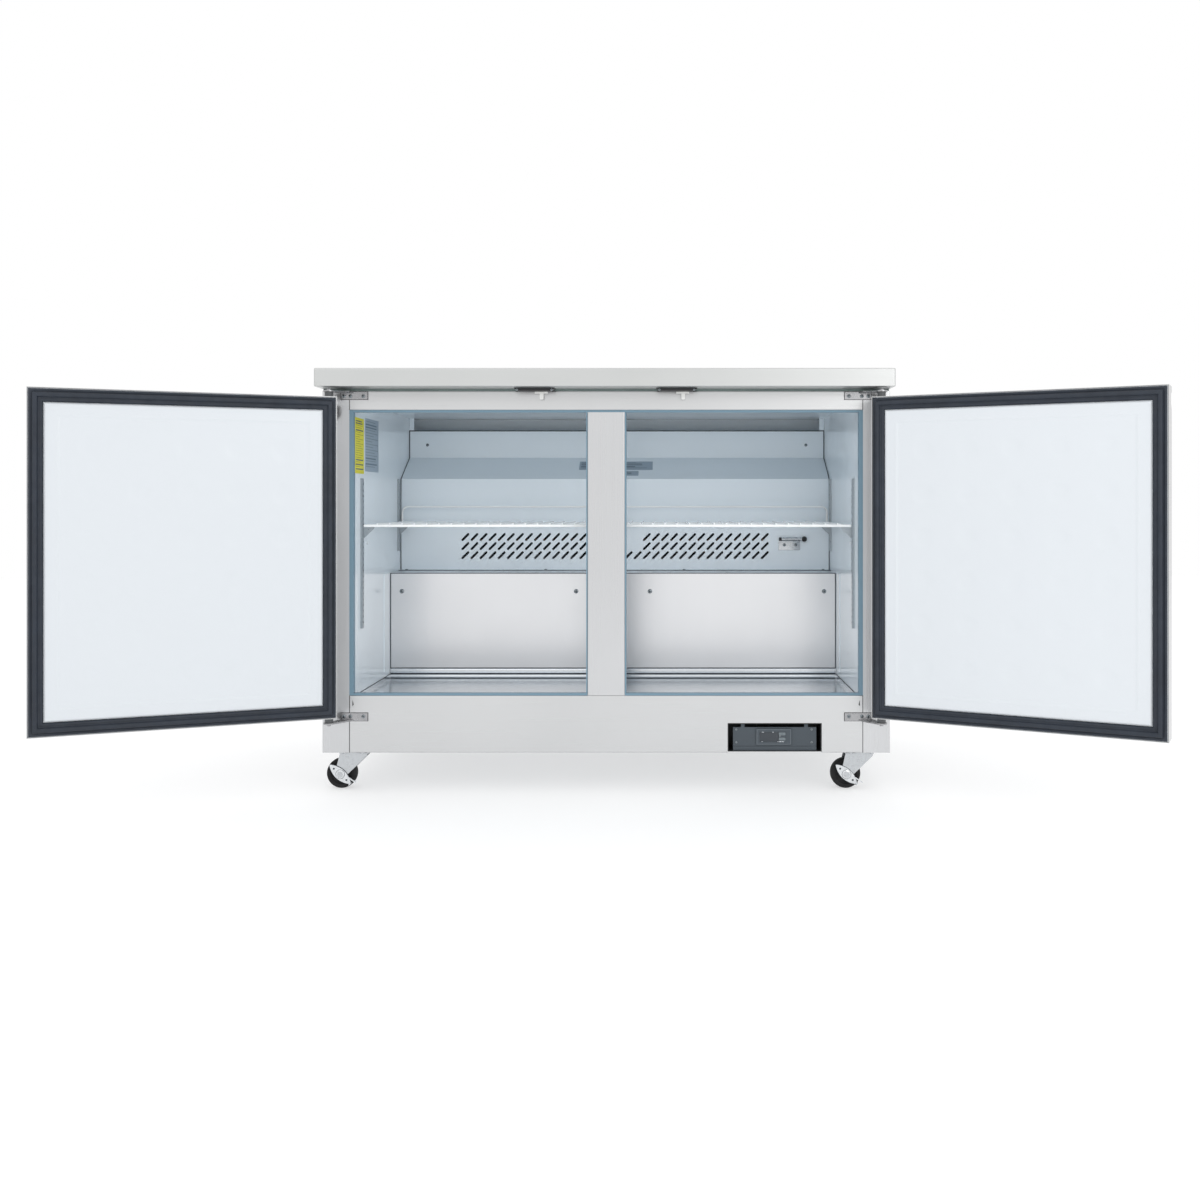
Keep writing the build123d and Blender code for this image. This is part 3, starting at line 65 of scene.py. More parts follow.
# Hinge plates on the face and the painted shadow outlines that show round them
HINGE_PLATE_X = (0.514, 0.572)
HINGE_PLATE_Z = ((0.850, 0.866), (0.157, 0.174))
HINGE_SHADOW_EDGE = 0.0009
# Hoods over the slots of the rear cover
LOUVRE_RAISE = 0.016
LOUVRE_PITCH_X = 0.190
LOUVRE_PITCH_Z = 0.018
HOOD_LENGTH = 0.146
HOOD_PROFILE = (
    (0, 0.0044),
    (0.0020, 0.0034),
    (0.0036, 0.0006),
    (0.0040, -0.0026),
    (0.0034, -0.0026),
    (0.0024, 0.0002),
    (0, 0.0034),
)
ANGLE_SHEET = 0.0010

# ---------------------------------------------------------------- camera and light

CAMERA_DISTANCE = 2.65
camera_data = bpy.data.cameras.new("camera")
camera_data.sensor_width = 36
camera_data.lens = 36.86
camera_data.shift_x = -0.0542
camera_data.shift_y = -0.0792
camera = bpy.data.objects.new("camera", camera_data)
camera.location = (0.127, FACE - CAMERA_DISTANCE, 0.6225)
camera.rotation_euler = (radians(90), 0, 0)
bpy.context.scene.collection.objects.link(camera)
bpy.context.scene.camera = camera
bpy.context.scene.view_settings.view_transform = "Standard"

world = bpy.data.worlds.new("studio")
world.use_nodes = True
world.node_tree.nodes["Background"].inputs["Color"].default_value = (1, 1, 1, 1)
world.node_tree.nodes["Background"].inputs["Strength"].default_value = 1.0
bpy.context.scene.world = world


def area_light(name, location, target, width, height, power):
    """Soft box that looks at a point."""
    data = bpy.data.lights.new(name, "AREA")
    data.shape = "RECTANGLE"
    data.size = width
    data.size_y = height
    data.energy = power
    lamp = bpy.data.objects.new(name, data)
    lamp.location = location
    lamp.rotation_euler = (Vector(target) - Vector(location)).to_track_quat("-Z", "Y").to_euler()
    bpy.context.scene.collection.objects.link(lamp)
    return lamp


area_light("key_light", (-1.4, -3.4, 2.6), (0, 0, 0.5), 2.4, 1.6, 8)
area_light("fill_light", (1.9, -3.0, 1.6), (0, 0, 0.5), 2.0, 1.6, 15)
area_light("top_light", (0, 0.6, 3.2), (0, 0, 0.5), 2.6, 2.0, 3)

# ---------------------------------------------------------------- materials


class Shader:
    """A node material around one Principled shader."""

    def __init__(self, name, color, roughness, metallic=0.0, coat=0.0, ior=1.5):
        self.material = bpy.data.materials.new(name)
        self.material.use_nodes = True
        self.tree = self.material.node_tree
        self.shader = self.tree.nodes["Principled BSDF"]
        self.set("Base Color", (*color, 1))
        self.set("Roughness", roughness)
        self.set("Metallic", metallic)
        self.set("Coat Weight", coat)
        self.set("IOR", ior)
        self.coords = self.tree.nodes.new("ShaderNodeTexCoord")
        self.color = color
        self.normal = None

    def set(self, socket, value):
        self.shader.inputs[socket].default_value = value

    def noise(self, scale, detail=4, stretch=(1, 1, 1)):
        """Noise in the object's own coordinates, stretched by a scale for each axis."""
        mapping = self.tree.nodes.new("ShaderNodeMapping")
        mapping.inputs["Scale"].default_value = stretch
        texture = self.tree.nodes.new("ShaderNodeTexNoise")
        texture.inputs["Scale"].default_value = scale
        texture.inputs["Detail"].default_value = detail
        self.tree.links.new(self.coords.outputs["Object"], mapping.inputs["Vector"])
        self.tree.links.new(mapping.outputs["Vector"], texture.inputs["Vector"])
        return texture.outputs["Fac"]

    def between(self, factor, low, high):
        """Maps the middle of a noise to a range of numbers."""
        node = self.tree.nodes.new("ShaderNodeMapRange")
        node.inputs["From Min"].default_value = 0.3
        node.inputs["From Max"].default_value = 0.7
        node.inputs["To Min"].default_value = low
        node.inputs["To Max"].default_value = high
        self.tree.links.new(factor, node.inputs["Value"])
        return node.outputs["Result"]

    def vary_roughness(self, factor, low, high):
        self.tree.links.new(self.between(factor, low, high), self.shader.inputs["Roughness"])
        return self

    def vary_color(self, factor, darker, lighter=1.0):
        """Colour between a darker and a lighter shade of the base colour."""
        ramp = self.tree.nodes.new("ShaderNodeValToRGB")
        ramp.color_ramp.elements[0].position = 0.3
        ramp.color_ramp.elements[1].position = 0.7
        for element, shade in zip(ramp.color_ramp.elements, (darker, lighter)):
            element.color = (*(min(1, c * shade) for c in self.color), 1)
        self.tree.links.new(factor, ramp.inputs["Fac"])
        self.tree.links.new(ramp.outputs["Color"], self.shader.inputs["Base Color"])
        return self

    def bump(self, factor, strength, distance):
        node = self.tree.nodes.new("ShaderNodeBump")
        node.inputs["Strength"].default_value = strength
        node.inputs["Distance"].default_value = distance
        self.tree.links.new(factor, node.inputs["Height"])
        if self.normal is not None:
            self.tree.links.new(self.normal, node.inputs["Normal"])
        self.normal = node.outputs["Normal"]
        self.tree.links.new(self.normal, self.shader.inputs["Normal"])
        return self


def brushed(name, color, roughness, grain, spread=0.07, clouds=0.96, relief=0.07):
    """Brushed stainless steel: fine streaks along the grain and faint wide clouds."""
    steel = Shader(name, color, roughness, metallic=1.0)
    streaks = steel.noise(1.0, 5, grain)
    steel.vary_roughness(streaks, roughness - spread, roughness + spread)
    steel.vary_color(steel.noise(2.6, 3), clouds, 1.02)
    steel.bump(streaks, relief, 0.0001)
    steel.bump(steel.noise(3.5, 2), 0.12, 0.0008)
    return steel.material


def moulded(name, color, roughness, grain=900, depth=0.00005, coat=0.0, shade=0.99):
    """Moulded plastic or enamel with a fine grain."""
    plastic = Shader(name, color, roughness, coat=coat)
    plastic.vary_roughness(plastic.noise(9, 2), roughness - 0.015, roughness + 0.02)
    plastic.vary_color(plastic.noise(3, 1), shade, 1.0)
    plastic.bump(plastic.noise(grain, 2), 0.22, depth)
    return plastic.material


def plated(name, color, roughness, speckle=140, shade=0.92):
    """Zinc or nickel plate with a mottled spangle."""
    plate = Shader(name, color, roughness, metallic=1.0)
    spangle = plate.noise(speckle, 5)
    plate.vary_color(spangle, shade, 1.05)
    plate.vary_roughness(spangle, roughness - 0.08, roughness + 0.12)
    plate.bump(plate.noise(speckle * 4, 3), 0.2, 0.00006)
    return plate.material


def rubber(name, color, roughness):
    """Soft black or slate rubber, slightly dusty."""
    soft = Shader(name, color, roughness)
    soft.vary_color(soft.noise(22, 5), 0.82, 1.12)
    soft.vary_roughness(soft.noise(60, 4), roughness - 0.08, roughness + 0.1)
    soft.bump(soft.noise(700, 3), 0.3, 0.00008)
    return soft.material


STEEL = (0.63, 0.635, 0.64)
steel_across = brushed("steel_brushed_across", STEEL, 0.34, (2.5, 2.5, 900))
steel_up = brushed("steel_brushed_up", (0.62, 0.625, 0.635), 0.30, (700, 700, 2.0), 0.04, 0.96, 0.03)
steel_top = brushed("steel_worktop", (0.595, 0.605, 0.60), 0.36, (2.5, 900, 900))
steel_floor = brushed("steel_floor", (0.73, 0.76, 0.79), 0.20, (2.5, 300, 300), 0.02, 0.96, 0.02)
steel_step = brushed("steel_step", (0.745, 0.75, 0.765), 0.30, (260, 260, 1.2), 0.02, 0.95, 0.02)
enamel = moulded("white_enamel", (0.865, 0.94, 0.995), 0.22, 260, 0.00004, coat=0.25)
liner_white = moulded("white_liner", (0.70, 0.735, 0.77), 0.30, 420, 0.00003, coat=0.1)
trim_slate = moulded("slate_trim", (0.17, 0.28, 0.36), 0.42)
gasket_slate = rubber("gasket_slate", (0.015, 0.022, 0.035), 0.55)
tread_black = rubber("tread_black", (0.003, 0.003, 0.004), 0.75)
plastic_black = moulded("plastic_black", (0.012, 0.013, 0.015), 0.45, shade=0.85)
plastic_fascia = moulded("plastic_fascia", (0.055, 0.070, 0.085), 0.50, 700, 0.00009, shade=0.92)
plastic_key = moulded("plastic_key", (0.16, 0.19, 0.21), 0.45)
nylon = moulded("nylon_grey", (0.10, 0.105, 0.11), 0.42)
lever_white = moulded("lever_white", (0.94, 0.94, 0.92), 0.32)
wire_white = moulded("wire_coating", (0.96, 0.98, 0.99), 0.24, 320, 0.0001, coat=0.3)
zinc = plated("zinc_plate", (0.56, 0.58, 0.60), 0.30)
chrome = plated("bright_plate", (0.50, 0.52, 0.54), 0.20, 60, 0.93)
hinge_steel = plated("hinge_steel", (0.40, 0.40, 0.41), 0.24, 90, 0.85)
standard_zinc = plated("standard_zinc", (0.36, 0.40, 0.43), 0.34, 200, 0.9)
# Dark line material: sealant beads at joints, and painted shade in creases, along edges and round the brake
# pedal.
sealant_and_painted_shade = rubber("sealant_and_shade_line", (0.045, 0.055, 0.066), 0.6)
shadow_gap = rubber("shadow_gap", (0.03, 0.032, 0.036), 0.7)
screw_steel = plated("screw_steel", (0.26, 0.29, 0.31), 0.26, 90, 0.9)
galvanised = plated("galvanised_sheet", (0.55, 0.57, 0.59), 0.38, 45, 0.88)
aluminium = plated("aluminium_fins", (0.30, 0.40, 0.44), 0.38, 90, 0.88)
copper = plated("copper_tube", (0.72, 0.38, 0.24), 0.28, 70, 0.80)
black_paint = moulded("black_paint", (0.012, 0.012, 0.013), 0.25, 180, 0.00012, coat=0.4, shade=0.8)
# Foam coloured dark grey instead of its own cream: painted shade where it shows in the gap under the worktop
# and in the notches.
foam = rubber("foam_painted_shade", (0.10, 0.095, 0.09), 0.85)
label_yellow = moulded("label_yellow", (0.80, 0.74, 0.01), 0.38, 200, 0.00002)
label_grey = moulded("label_grey", (0.34, 0.42, 0.50), 0.38, 200, 0.00002)
print_dark = moulded("label_print", (0.10, 0.12, 0.14), 0.5, 200, 0.00001)
print_light = moulded("label_print_light", (0.14, 0.20, 0.26), 0.5, 200, 0.00001)
ink_yellow = moulded("ink_on_yellow", (0.42, 0.40, 0.03), 0.5, 200, 0.00001)
ink_grey = moulded("ink_on_grey", (0.20, 0.27, 0.33), 0.5, 200, 0.00001)
icon_white = moulded("icon_white", (0.80, 0.84, 0.88), 0.4, 300, 0.00001)
display = Shader("display_window", (0.030, 0.038, 0.048), 0.22, coat=0.2)
display.vary_roughness(display.noise(40, 3), 0.20, 0.26)
display_glass = display.material
outline_grey = moulded("outline_grey", (0.20, 0.23, 0.26), 0.4, 300, 0.00001)

NODE_MATERIALS = {
    steel_across: ("front_header", "lower_front_panel", "left_door_skin", "right_door_skin"),
    steel_up: ("left_side_panel", "right_side_panel", "mullion"),
    steel_top: ("worktop",),
    steel_floor: ("floor_pan",),
    steel_step: ("step_panel",),
    enamel: ("inner_liner", "evaporator_cover"),
    lever_white: ("left_switch_lever", "right_switch_lever"),
    trim_slate: ("breaker_trim",),
    wire_white: ("left_shelf", "right_shelf"),
    zinc: (
        "caster_plates",
        "front_left_brake_lever",
        "front_right_brake_lever",
        *(f"{name}_caster_fork" for name in CASTERS),
    ),
    chrome: ("temperature_probe",),
    hinge_steel: ("hinge_brackets",),
    standard_zinc: ("shelf_standards", "shelf_clips"),
    plastic_black: (
        "control_housing",
        "door_switch_housings",
        "cord_gland",
        "evaporator_fan",
        "condenser_fan",
    ),
    plastic_fascia: ("control_fascia", "controller"),
    plastic_key: ("controller_key_upper", "controller_key_lower"),
    nylon: ("left_door_bushings", "right_door_bushings"),
    galvanised: (
        "back_panel",
        "rear_grille",
        "base_pan",
        "evaporator_fan_deck",
        "drain_pan",
        "condenser_fan_shroud",
    ),
    black_paint: ("compressor",),
    foam: ("insulation", "left_door_foam", "right_door_foam"),
}
for material, names in NODE_MATERIALS.items():
    for name in names:
        nodes[name].data.materials.clear()
        nodes[name].data.materials.append(material)

# ---------------------------------------------------------------- mesh helpers


def make_piece(name, bm, body, slot, *materials, smooth=35):
    """Turns a bmesh into a piece that rides on a body."""
    bmesh.ops.recalc_face_normals(bm, faces=bm.faces[:])
    mesh = bpy.data.meshes.new(name)
    bm.to_mesh(mesh)
    bm.free()
    for material in materials:
        mesh.materials.append(material)
    mesh.shade_smooth()
    mesh.set_sharp_from_angle(angle=radians(smooth))
    piece = bpy.data.objects.new(name, mesh)
    bpy.context.scene.collection.objects.link(piece)
    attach(piece, body)
    return piece


def add_box(bm, low, high, material=0, place=None, round_edges=0.0):
    """Box between two corners, its edges optionally rounded, placed by a matrix."""
    made = bmesh.ops.create_cube(bm, size=1)
    size = Vector(high) - Vector(low)
    middle = (Vector(high) + Vector(low)) / 2
    matrix = Matrix.Translation(middle) @ Matrix.Diagonal((*size, 1))
    bmesh.ops.transform(bm, matrix=matrix, verts=made["verts"])
    faces = {face for vert in made["verts"] for face in vert.link_faces}
    for face in faces:
        face.material_index = material
    verts = made["verts"]
    if round_edges:
        edges = list({edge for face in faces for edge in face.edges})
        rounded = bmesh.ops.bevel(
            bm, geom=edges, offset=round_edges, segments=2, profile=0.6, affect="EDGES", material=material
        )
        corner = rounded["verts"][0]
        verts = connected(corner)
    if place is not None:
        bmesh.ops.transform(bm, matrix=place, verts=verts)


def connected(start):
    """Every vertex that is joined to this one."""
    found = {start}
    front = [start]
    while front:
        vert = front.pop()
        for edge in vert.link_edges:
            other = edge.other_vert(vert)
            if other not in found:
                found.add(other)
                front.append(other)
    return list(found)


def add_lathe(bm, profile, place, segments=48, material=0, closed=False):
    """Turns (radius, height) points about the local Z axis."""
    rings = []
    for radius, height in profile:
        if radius < 1e-7:
            rings.append([bm.verts.new(place @ Vector((0, 0, height)))])
            continue
        ring = []
        for n in range(segments):
            turn = 2 * pi * n / segments
            ring.append(bm.verts.new(place @ Vector((radius * cos(turn), radius * sin(turn), height))))
        rings.append(ring)
    pairs = list(zip(rings, rings[1:]))
    if closed:
        pairs.append((rings[-1], rings[0]))
    for first, second in pairs:
        for n in range(segments):
            m = (n + 1) % segments
            near = (first[n % len(first)], first[m % len(first)])
            far = (second[m % len(second)], second[n % len(second)])
            corners = list(dict.fromkeys(near + far))
            if len(corners) > 2:
                bm.faces.new(corners).material_index = material


def looking(point, direction):
    """Matrix that puts local Z along a direction at a point."""
    return Matrix.Translation(Vector(point)) @ Vector(direction).to_track_quat("Z", "Y").to_matrix().to_4x4()


def add_screw(bm, point, direction, radius, turn=0.4):
    """Pan head with a cross recess; material 0 is the plate and 1 the dark recess."""
    place = looking(point, direction)
    height = 0.55 * radius
    dome = [(radius, 0), (radius, height * 0.35)]
    dome += [(radius * cos(a), height * (0.35 + 0.65 * sin(a))) for a in (pi / 8, pi / 4, 3 * pi / 8)]
    dome.append((0, height))
    add_lathe(bm, dome, place, 20)
    for angle in (turn, turn + pi / 2):
        spin = place @ Matrix.Rotation(angle, 4, "Z")
        half = radius * 0.55
        add_box(
            bm,
            (-half, -radius * 0.1, height * 0.6),
            (half, radius * 0.1, height * 1.04),
            1,
            spin,
        )


def add_tube(bm, points, radius, segments=12, material=0):
    """Round tube along points, with mitred joints and flat ends."""
    rings = []
    points = [Vector(p) for p in points]
    for n, point in enumerate(points):
        before = points[max(n - 1, 0)]
        after = points[min(n + 1, len(points) - 1)]
        place = looking(point, after - before)
        turns = [2 * pi * k / segments for k in range(segments)]
        rings.append([bm.verts.new(place @ Vector((radius * cos(a), radius * sin(a), 0))) for a in turns])
    for first, second in zip(rings, rings[1:]):
        shift = min(range(segments), key=lambda k: (second[k].co - first[0].co).length)
        for k in range(segments):
            m = (k + 1) % segments
            quad = (first[k], first[m], second[(m + shift) % segments], second[(k + shift) % segments])
            bm.faces.new(quad).material_index = material
    bm.faces.new(rings[0]).material_index = material
    bm.faces.new(rings[-1]).material_index = material


def add_plate(bm, outline, place, low, high, material=0):
    """Flat plate with a given outline in a matrix's XY plane, between two heights."""
    lower = [bm.verts.new(place @ Vector((x, y, low))) for x, y in outline]
    upper = [bm.verts.new(place @ Vector((x, y, high))) for x, y in outline]
    bm.faces.new(lower).material_index = material
    bm.faces.new(upper).material_index = material
    for n in range(len(outline)):
        m = (n + 1) % len(outline)
        bm.faces.new((lower[n], lower[m], upper[m], upper[n])).material_index = material


# ---------------------------------------------------------------- doors

DOOR_WIDTH = 0.583
DOOR_START = -0.013
DOOR_REAR = 0.028
GASKET_INSET = 0.003
RAISED_INSET = 0.0295
GASKET_NARROW = 0.88
GASKET_PROFILE = (
    (0.0, 0.0),
    (0.0, 3.2),
    (1.2, 4.3),
    (3.6, 4.5),
    (5.6, 3.9),
    (6.8, 3.2),
    (7.8, 3.4),
    (8.6, 8.6),
    (9.8, 11.0),
    (12.5, 11.6),
    (15.6, 11.6),
    (17.6, 10.8),
    (18.4, 8.4),
    (19.6, 5.2),
    (21.0, 4.6),
    (22.4, 4.8),
    (24.6, 4.9),
    (27.0, 4.3),
    (28.6, 2.8),
    (29.4, 0.6),
    (29.4, 0.0),
)


def door_frame(side):
    """Pin, along and rear directions of a door as it stands open."""
    joint = joints[f"{side}_door_hinge"]
    swing = radians(joint["range_deg"][1])
    sign = -1 if side == "left" else 1
    pin = Vector((joint["pos_m"][0], joint["pos_m"][1], 0))
    along = Vector((-sign * cos(swing), -sin(swing), 0))
    rear = Vector((-sign * sin(swing), cos(swing), 0))
    return pin, along, rear


def smooth_step(value):
    value = max(0.0, min(1.0, value))
    return value * value * (3 - 2 * value)


def graded(half, fine):
    """Coordinates from -half to half, closer together near given distances from the edge."""
    values = {-half, half, 0.0}
    count = int(2 * half / 0.0045)
    values.update(-half + 2 * half * n / count for n in range(count + 1))
    for distance in fine:
        for sign in (-1, 1):
            values.add(sign * (half - distance))
    return sorted(values)


def door_liner(side):
    """White inner panel: rolled edge, flat border, sunk field and rows of soft dimples."""
    pin, along, rear = door_frame(side)
    low, high = (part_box(f"{side}_door_skin")[k].z for k in (0, 1))
    middle = pin + along * (DOOR_START + DOOR_WIDTH / 2) + Vector((0, 0, (low + high) / 2))
    half_w = DOOR_WIDTH / 2 - RAISED_INSET
    half_h = (high - low) / 2 - RAISED_INSET
    border = 0.026
    raise_h = 0.0058
    roll = 0.005

    def height(x, z):
        edge = min(half_w - abs(x), half_h - abs(z))
        rise = raise_h * (1 - (1 - min(1.0, edge / roll)) ** 2) ** 0.5
        field = smooth_step((edge - border + 0.002) / 0.004)
        bead = exp(-((edge - border) / 0.0022) ** 2)
        bulge = rise + 0.0005 * bead - 0.0007 * field
        for column in range(5):
            for row in range(6):
                cx = (column - 2) * half_w * 2 / 5.8
                cz = (row - 2.5) * half_h * 2 / 6.9
                apart = ((x - cx) ** 2 + (z - cz) ** 2) / 0.019 ** 2
                if apart < 6:
                    bulge -= 0.0011 * field * exp(-apart * apart)
        return bulge

    step = (0.0004, 0.001, 0.0018, 0.0028, 0.004, 0.0055)
    fine = (*step, border - 0.004, border - 0.002, border, border + 0.003)
    xs = graded(half_w, fine)
    zs = graded(half_h, fine)
    bm = bmesh.new()
    grid = [
        [bm.verts.new(middle + along * x + Vector((0, 0, z)) + rear * (DOOR_REAR + height(x, z))) for z in zs]
        for x in xs
    ]
    for first, second in zip(grid, grid[1:]):
        for k in range(len(zs) - 1):
            bm.faces.new((first[k], second[k], second[k + 1], first[k + 1]))
    rim = [edge for edge in bm.edges if edge.is_boundary]
    out = bmesh.ops.extrude_edge_only(bm, edges=rim)
    skirt = [item for item in out["geom"] if isinstance(item, bmesh.types.BMVert)]
    grow = RAISED_INSET - 0.002
    for vert in skirt:
        local = vert.co - middle
        x = local.dot(along)
        z = local.z
        x += (grow if x > 0 else -grow) if abs(abs(x) - half_w) < 1e-6 else 0
        z += (grow if z > 0 else -grow) if abs(abs(z) - half_h) < 1e-6 else 0
        vert.co = middle + along * x + Vector((0, 0, z)) + rear * DOOR_REAR
    back = [edge for edge in bm.edges if edge.is_boundary]
    out = bmesh.ops.extrude_edge_only(bm, edges=back)
    for item in out["geom"]:
        if isinstance(item, bmesh.types.BMVert):
            item.co -= rear * 0.0015
    bmesh.ops.holes_fill(bm, edges=[edge for edge in bm.edges if edge.is_boundary], sides=0)
    piece = make_piece(f"{side}_door_inner_panel", bm, f"{side}_door", "white_plastic", liner_white)
    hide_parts(f"{side}_door_liner")


def door_gasket(side):
    """Ribbed magnetic gasket with mitred, welded corners."""
    pin, along, rear = door_frame(side)
    low, high = (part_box(f"{side}_door_skin")[k].z for k in (0, 1))
    middle = pin + along * (DOOR_START + DOOR_WIDTH / 2) + Vector((0, 0, (low + high) / 2))
    half_w = DOOR_WIDTH / 2 - GASKET_INSET
    half_h = (high - low) / 2 - GASKET_INSET
    bm = bmesh.new()
    loops = []
    for inset, height in GASKET_PROFILE:
        w = half_w - inset * GASKET_NARROW * MM
        h = half_h - inset * GASKET_NARROW * MM
        corners = ((-w, -h), (w, -h), (w, h), (-w, h))
        loop = []
        for (x1, z1), (x2, z2) in zip(corners, corners[1:] + corners[:1]):
            for n in range(12):
                x = x1 + (x2 - x1) * n / 12
                z = z1 + (z2 - z1) * n / 12
                spot = middle + along * x + Vector((0, 0, z)) + rear * (DOOR_REAR + height * MM)
                loop.append(bm.verts.new(spot))
        loops.append(loop)
    for first, second in zip(loops, loops[1:] + loops[:1]):
        for n in range(len(first)):
            m = (n + 1) % len(first)
            bm.faces.new((first[n], first[m], second[m], second[n]))
    piece = make_piece(f"{side}_door_seal", bm, f"{side}_door", "gasket", gasket_slate, smooth=50)
    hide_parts(f"{side}_door_gasket")


def door_grip_caps(side):
    """Dark end caps that close the finger grip at both ends of the door."""
    pin, along, rear = door_frame(side)
    to_world = Matrix(
        (
            (along.x, rear.x, 0, pin.x),
            (along.y, rear.y, 0, pin.y),
            (0, 0, 1, 0),
            (0, 0, 0, 1),
        )
    )
    bm = bmesh.new()
    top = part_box(f"{side}_door_skin")[1].z
    for start in (DOOR_START + 0.0015, DOOR_START + DOOR_WIDTH - 0.0075):
        add_box(
            bm,
            (start, -0.0232, top - 0.040),
            (start + 0.006, -0.0108, top - 0.014),
            0,
            to_world,
            0.0015,
        )
    make_piece(f"{side}_grip_caps", bm, f"{side}_door", "black_plastic", plastic_black)


for door_side in ("left", "right"):
    door_liner(door_side)
    door_gasket(door_side)
    door_grip_caps(door_side)

# ---------------------------------------------------------------- casters


def caster_wheel(name):
    """Moulded wheel: crowned tread, recessed web, hub and bearing cover on both sides."""
    low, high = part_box(f"{name}_caster_wheel")
    middle = (low + high) / 2
    radius = (high.z - low.z) / 2
    half = (high.y - low.y) / 2
    bore = 0.0042
    side_line = (
        (bore, half),
        (0.0085, half),
        (0.0098, half - 0.0008),
        (0.0102, half - 0.0022),
        (0.0125, half - 0.0030),
        (0.0215, half - 0.0034),
        (0.0228, half - 0.0018),
        (0.0250, half - 0.0014),
        (radius - 0.0042, half - 0.0016),
        (radius - 0.0020, half - 0.0030),
        (radius - 0.0006, half - 0.0062),
        (radius, half - 0.0110),
    )
    outline = list(side_line) + [(r, -h) for r, h in reversed(side_line)]
    bm = bmesh.new()
    add_lathe(bm, outline, looking(middle, (0, 1, 0)), 72, closed=True)
    for face in bm.faces:
        centre = face.calc_center_median() - middle
        if Vector((centre.x, 0, centre.z)).length < 0.0112:
            face.material_index = 1
    piece = make_piece(f"{name}_wheel_turned", bm, f"{name}_wheel", "tread", tread_black, zinc)
    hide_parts(f"{name}_caster_wheel")


def caster_race(name):
    """Swivel race: pressed ring between the plate and the fork, and the four plate bolts."""
    joint = joints[f"{name}_swivel"]
    x, y, z = joint["pos_m"]
    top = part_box("caster_plates")[1].z
    fork_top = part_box(f"{name}_caster_fork")[1].z
    ring = ((0.0215, 0.0), (0.0245, 0.0006), (0.0252, 0.0026), (0.0238, 0.0044), (0.0215, 0.0050))
    bm = bmesh.new()
    add_lathe(bm, ring, looking((x, y, fork_top + 0.0003), (0, 0, 1)), 48, closed=True)
    for across in (-0.023, 0.023):
        for along in (-0.037, 0.037):
            place = looking((x + across, y + along, top - 0.0025), (0, 0, -1))
            add_lathe(bm, ((0, 0.0001), (0.0062, 0), (0.0062, 0.001), (0, 0.001)), place, 24)
            head = ((0, 0.001), (0.0048, 0.001), (0.0048, 0.0040), (0.0040, 0.0046), (0, 0.0046))
            add_lathe(bm, head, place, 6)
    make_piece(f"{name}_race", bm, "cabinet", "zinc", zinc)


BRAKE_ANGLE = radians(-42)


def brake_lever(name):
    """Pressed brake pedal: bow-tie plate, raised hub, rivet, dimples and thin tail; a slightly larger dark
    plate under it is a painted shadow outline, and the dark ring round the hub and the dark dots in the
    dimples are painted shade.
    """
    hub = Vector(joints[f"{name}_brake_pivot"]["pos_m"])
    low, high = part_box(f"{name}_brake_lever")
    reach = Vector((cos(BRAKE_ANGLE), 0, sin(BRAKE_ANGLE)))
    across = Vector((-sin(BRAKE_ANGLE), 0, cos(BRAKE_ANGLE)))
    out = Vector((0, -1, 0))
    back = Vector((hub.x, high.y, hub.z))
    place = Matrix.Translation(back) @ Matrix((reach, across, out)).transposed().to_4x4()
    sheet = 0.0018

    def bow(grow):
        upper = []
        for n in range(25):
            along = 0.0305 * cos(pi * n / 24)
            half = 0.0116 - 0.0104 * (along / 0.0305) ** 2
            upper.append((along + grow * cos(pi * n / 24), half + grow))
        return upper + [(x, -y) for x, y in reversed(upper)]

    bm = bmesh.new()
    # Slightly larger dark plate under the pedal: painted shadow outline round its edge.
    add_plate(bm, bow(0.0009), place, 0.0, 0.0006, 1)
    add_plate(bm, bow(0), place, 0.0006, sheet)
    raised = ((0.0098, 0.0), (0.0094, 0.0011), (0.0076, 0.0019), (0.0052, 0.0022), (0, 0.0022))
    add_lathe(bm, raised, place @ Matrix.Translation((0, 0, sheet)), 40)
    # Dark ring round the raised hub and dark dots in the dimples: painted shade.
    ring = ((0.0102, 0.0), (0.0102, 0.00015), (0.0097, 0.00015), (0.0097, 0.0))
    add_lathe(bm, ring, place @ Matrix.Translation((0, 0, sheet)), 40, 1, closed=True)
    rivet = ((0.0040, 0.0), (0.0039, 0.0010), (0.0028, 0.0018), (0, 0.0021))
    add_lathe(bm, rivet, place @ Matrix.Translation((0, 0, sheet + 0.0022)), 24)
    dot = ((0.0022, 0.0), (0.0021, 0.0003), (0, 0.0003))
    for along in (-0.0185, 0.0185):
        add_lathe(bm, dot, place @ Matrix.Translation((along, 0, sheet)), 20, 1)
    tail = ((0.018, 0.0060), (0.0375, 0.0094), (0.0372, 0.0118), (0.018, 0.0092))
    add_plate(bm, tail, place, 0.0004, 0.0046)
    stop = ((0.0290, -0.0035), (0.0312, -0.0030), (0.0312, 0.0030), (0.0290, 0.0035))
    add_plate(bm, stop, place, 0.0006, 0.0086)
    piece = make_piece(f"{name}_brake_pedal", bm, f"{name}_brake", "zinc", pedal_zinc, sealant_and_painted_shade)
    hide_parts(f"{name}_brake_lever")


pedal_zinc = plated("pedal_zinc", (0.74, 0.76, 0.78), 0.24, 120, 0.9)
for caster in CASTERS:
    caster_wheel(caster)
    caster_race(caster)
for caster in CASTERS[:2]:
    brake_lever(caster)

# ---------------------------------------------------------------- screws


